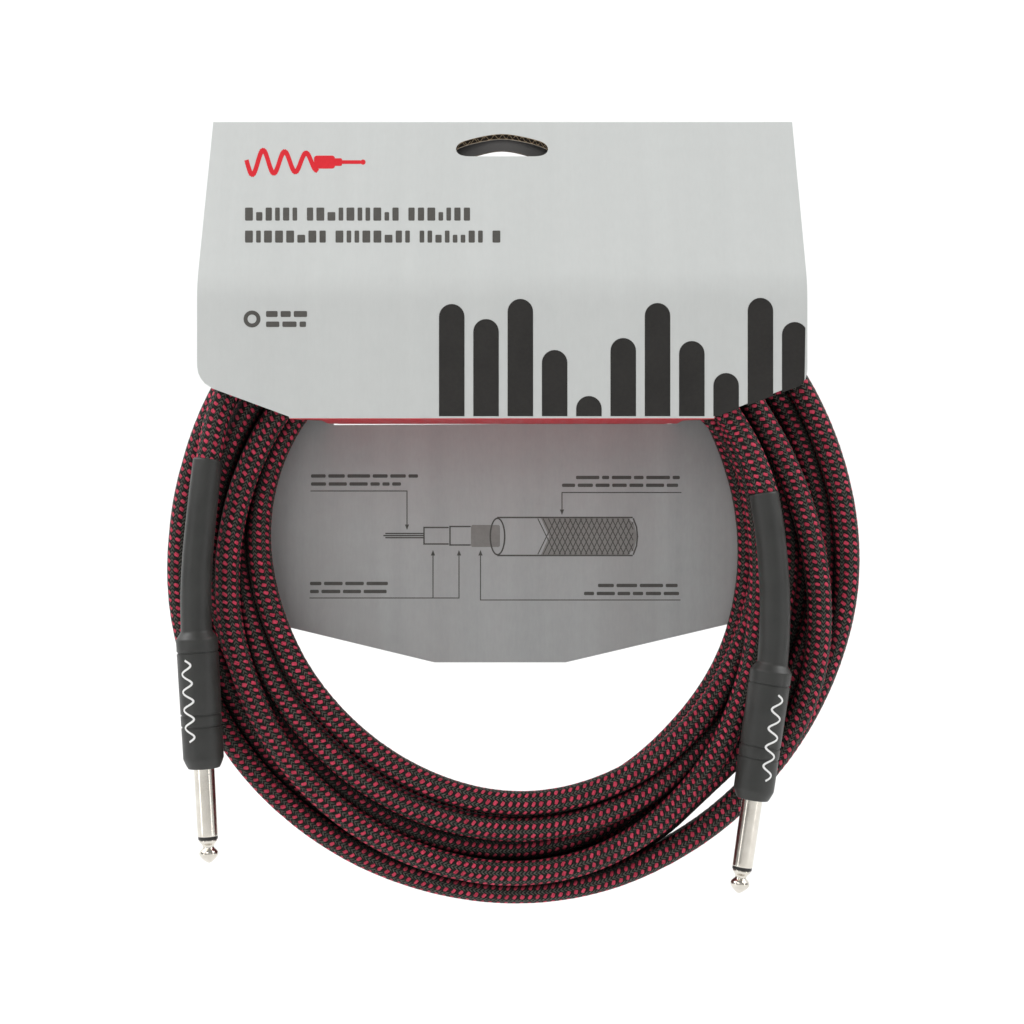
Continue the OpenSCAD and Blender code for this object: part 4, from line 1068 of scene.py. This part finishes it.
# inside of the back: cutaway drawing of the cable with call-outs
rear_ink = []
for k_, (x0_, x1_, y_, dx_) in enumerate(((311, 418, 476, 0), (311, 401, 484, 0), (310, 389, 583.5, 0), (310, 387, 591.5, 0), (576, 681, 477.5, 0), (562, 681, 485.3, 0), (598, 680, 585.5, 0), (584, 680, 593.5, 0))):
    rear_ink += words(x0_, x1_, y_ - 1.7, y_ + 1.7, 11 + k_, 2.6, 7, 24)
W1 = 0.95
rear_ink += stroke([(311, 491), (407, 491), (407, 524)], W1) + stroke([(310, 598), (459, 598), (459, 556)], W1) + stroke([(433, 598), (433, 556)], W1)
rear_ink += stroke([(680, 600), (480.5, 600), (480.5, 556)], W1) + stroke([(681, 492.5), (562, 492.5), (562, 509)], W1)
rear_ink += [[(404.9, 524.5), (409.1, 524.5), (407, 530)], [(430.9, 555.5), (435.1, 555.5), (433, 550)], [(456.9, 555.5), (461.1, 555.5), (459, 550)], [(478.4, 555.5), (482.6, 555.5), (480.5, 550)], [(559.9, 509.5), (564.1, 509.5), (562, 515)]]
rear_ink += stroke([(386, 533.5), (424, 533.5)], 1.3) + stroke([(384, 535.6), (424, 535.6)], 1.3) + stroke([(386, 537.7), (424, 537.7)], 1.3)
rear_ink += stroke([(424, 527.5), (448, 527.5)], 1.4) + stroke([(424, 544), (448, 544)], 1.4) + stroke([(424, 527.5), (424, 544)], 1.4) + stroke([(450, 526.5), (470, 526.5)], 1.4) + stroke([(450, 545), (470, 545)], 1.4) + stroke([(450, 526.5), (450, 545)], 1.4)
shieldgrey = [rrect(471, 525, 500, 547, 2), [(541, 518), (628, 518), (634, 524), (637, 536.5), (634, 549), (628, 555), (541, 555), (549, 536.5)]]
rear_ink += stroke([(498, 517.5), (632, 517.5)], 1.5) + stroke([(498, 555.5), (632, 555.5)], 1.5)
ell = disc(497.5, 536.5, 19, 36, 0.42)
ell_in = disc(497.5, 536.5, 17.4, 36, 0.37)
hatch = []
for k in range(18):
    x = 538 + 5.3 * k
    hatch += stroke([(x, 519), (min(x + 17, 633), 519 + min(17, 633 - x) * 2.05)], 0.95)
    hatch += stroke([(x, 554), (min(x + 17, 633), 554 - min(17, 633 - x) * 2.05)], 0.95)
rear_ink += hatch + stroke([(633.5, 519), (636.5, 527), (637.5, 536.5), (636.5, 546), (633.5, 554)], 1.5)
print_on("print_rear", [(M_SHIELDINK, shieldgrey, [], 0.045), (M_LINE, rear_ink, [], 0.05), (M_LINE, [ell], [ell_in], 0.06)], -1, ROOT, on_back)

# ------------------------------------------------------------------ pieces kept from the CAD
INSIDE = {"inner_mould": M_MOULD, "insulator_tube": M_CORE, "ground_lug": M_BRASS, "rear_washer": M_PAPER, "tip_lug": M_BRASS, "jacket_end": M_JACKET,
          "shield": M_COPPER, "core_screen": M_SCREEN, "core_insulation": M_CORE, "conductor": M_COPPER, "tip_solder": M_SOLDER, "ground_solder": M_SOLDER}
for name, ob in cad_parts.items():
    if ob.hide_render:
        continue
    m_ = INSIDE.get(name.split("_", 2)[-1])
    if m_ is None:
        print("NO MATERIAL FOR", name)
        m_ = M_MOULD
    ob.data.materials.clear()
    ob.data.materials.append(m_)

# ------------------------------------------------------------------ the cable's centreline, resampled at 2.4 mm steps
path, _ = resample(LINE, 2.4)

# ------------------------------------------------------------------ studio
def sweep_wall():
    prof = [(-2.2, -0.35), (-1.0, -0.35), (0.2, -0.35)]
    for i in range(1, 13):
        a = math.radians(90 * i / 12)
        prof.append((0.2 + 0.3 * math.sin(a), -0.05 - 0.3 * math.cos(a)))
    prof += [(0.5, 0.5), (0.5, 1.6)]
    xs = np.linspace(-2.2, 2.2, 9)
    v = [(x, y, z) for y, z in prof for x in xs]
    f = []
    k = len(xs)
    for i in range(len(prof) - 1):
        for j in range(k - 1):
            f.append((i * k + j, i * k + j + 1, (i + 1) * k + j + 1, (i + 1) * k + j))
    return add_mesh("studio_sweep", v, f, M_STAGE, smooth=True)


# the backdrop is paper on its lit side only, so a view from behind or below looks through it
sn = M_STAGE.node_tree
s_out = next(n for n in sn.nodes if n.type == "OUTPUT_MATERIAL")
s_mix, s_clear, s_geo = sn.nodes.new("ShaderNodeMixShader"), sn.nodes.new("ShaderNodeBsdfTransparent"), sn.nodes.new("ShaderNodeNewGeometry")
s_paper = s_out.inputs["Surface"].links[0].from_socket
sn.links.new(s_geo.outputs["Backfacing"], s_mix.inputs[0])
sn.links.new(s_paper, s_mix.inputs[1])
sn.links.new(s_clear.outputs[0], s_mix.inputs[2])
sn.links.new(s_mix.outputs[0], s_out.inputs["Surface"])
wall = sweep_wall()


def area(name, at, to, size, power, color=(1, 1, 1)):
    d = bpy.data.lights.new(name, "AREA")
    d.shape = "RECTANGLE"
    d.size, d.size_y = size
    d.energy = power
    d.color = color
    o = bpy.data.objects.new(name, d)
    scene.collection.objects.link(o)
    o.location = at
    o.rotation_euler = (Vector(to) - Vector(at)).to_track_quat("-Z", "Y").to_euler()
    return o


area("key", (-0.55, -1.15, 0.75), (0, 0, -0.1), (0.9, 0.7), 4.3, (1.0, 0.985, 0.96))
area("front", (0.1, -1.5, -0.05), (0, 0, -0.12), (1.8, 1.5), 2.3, (1.0, 0.99, 0.975))
area("strip_left", (-0.55, -0.35, -0.15), (-0.05, -0.03, -0.15), (0.10, 0.6), 0.40)
area("strip_right", (0.60, -0.40, -0.15), (0.05, -0.03, -0.15), (0.10, 0.6), 0.45)
area("back_left", (-1.1, -0.1, 0.9), (0, 0.5, 0.0), (0.8, 0.8), 12.5)
area("back_right", (1.1, -0.1, 0.9), (0, 0.5, 0.0), (0.8, 0.8), 12.5)
world = bpy.data.worlds.new("world")
scene.world = world
world.use_nodes = True
bg = world.node_tree.nodes["Background"]
bg.inputs[0].default_value = (1.0, 1.0, 1.0, 1.0)
bg.inputs[1].default_value = 0.33
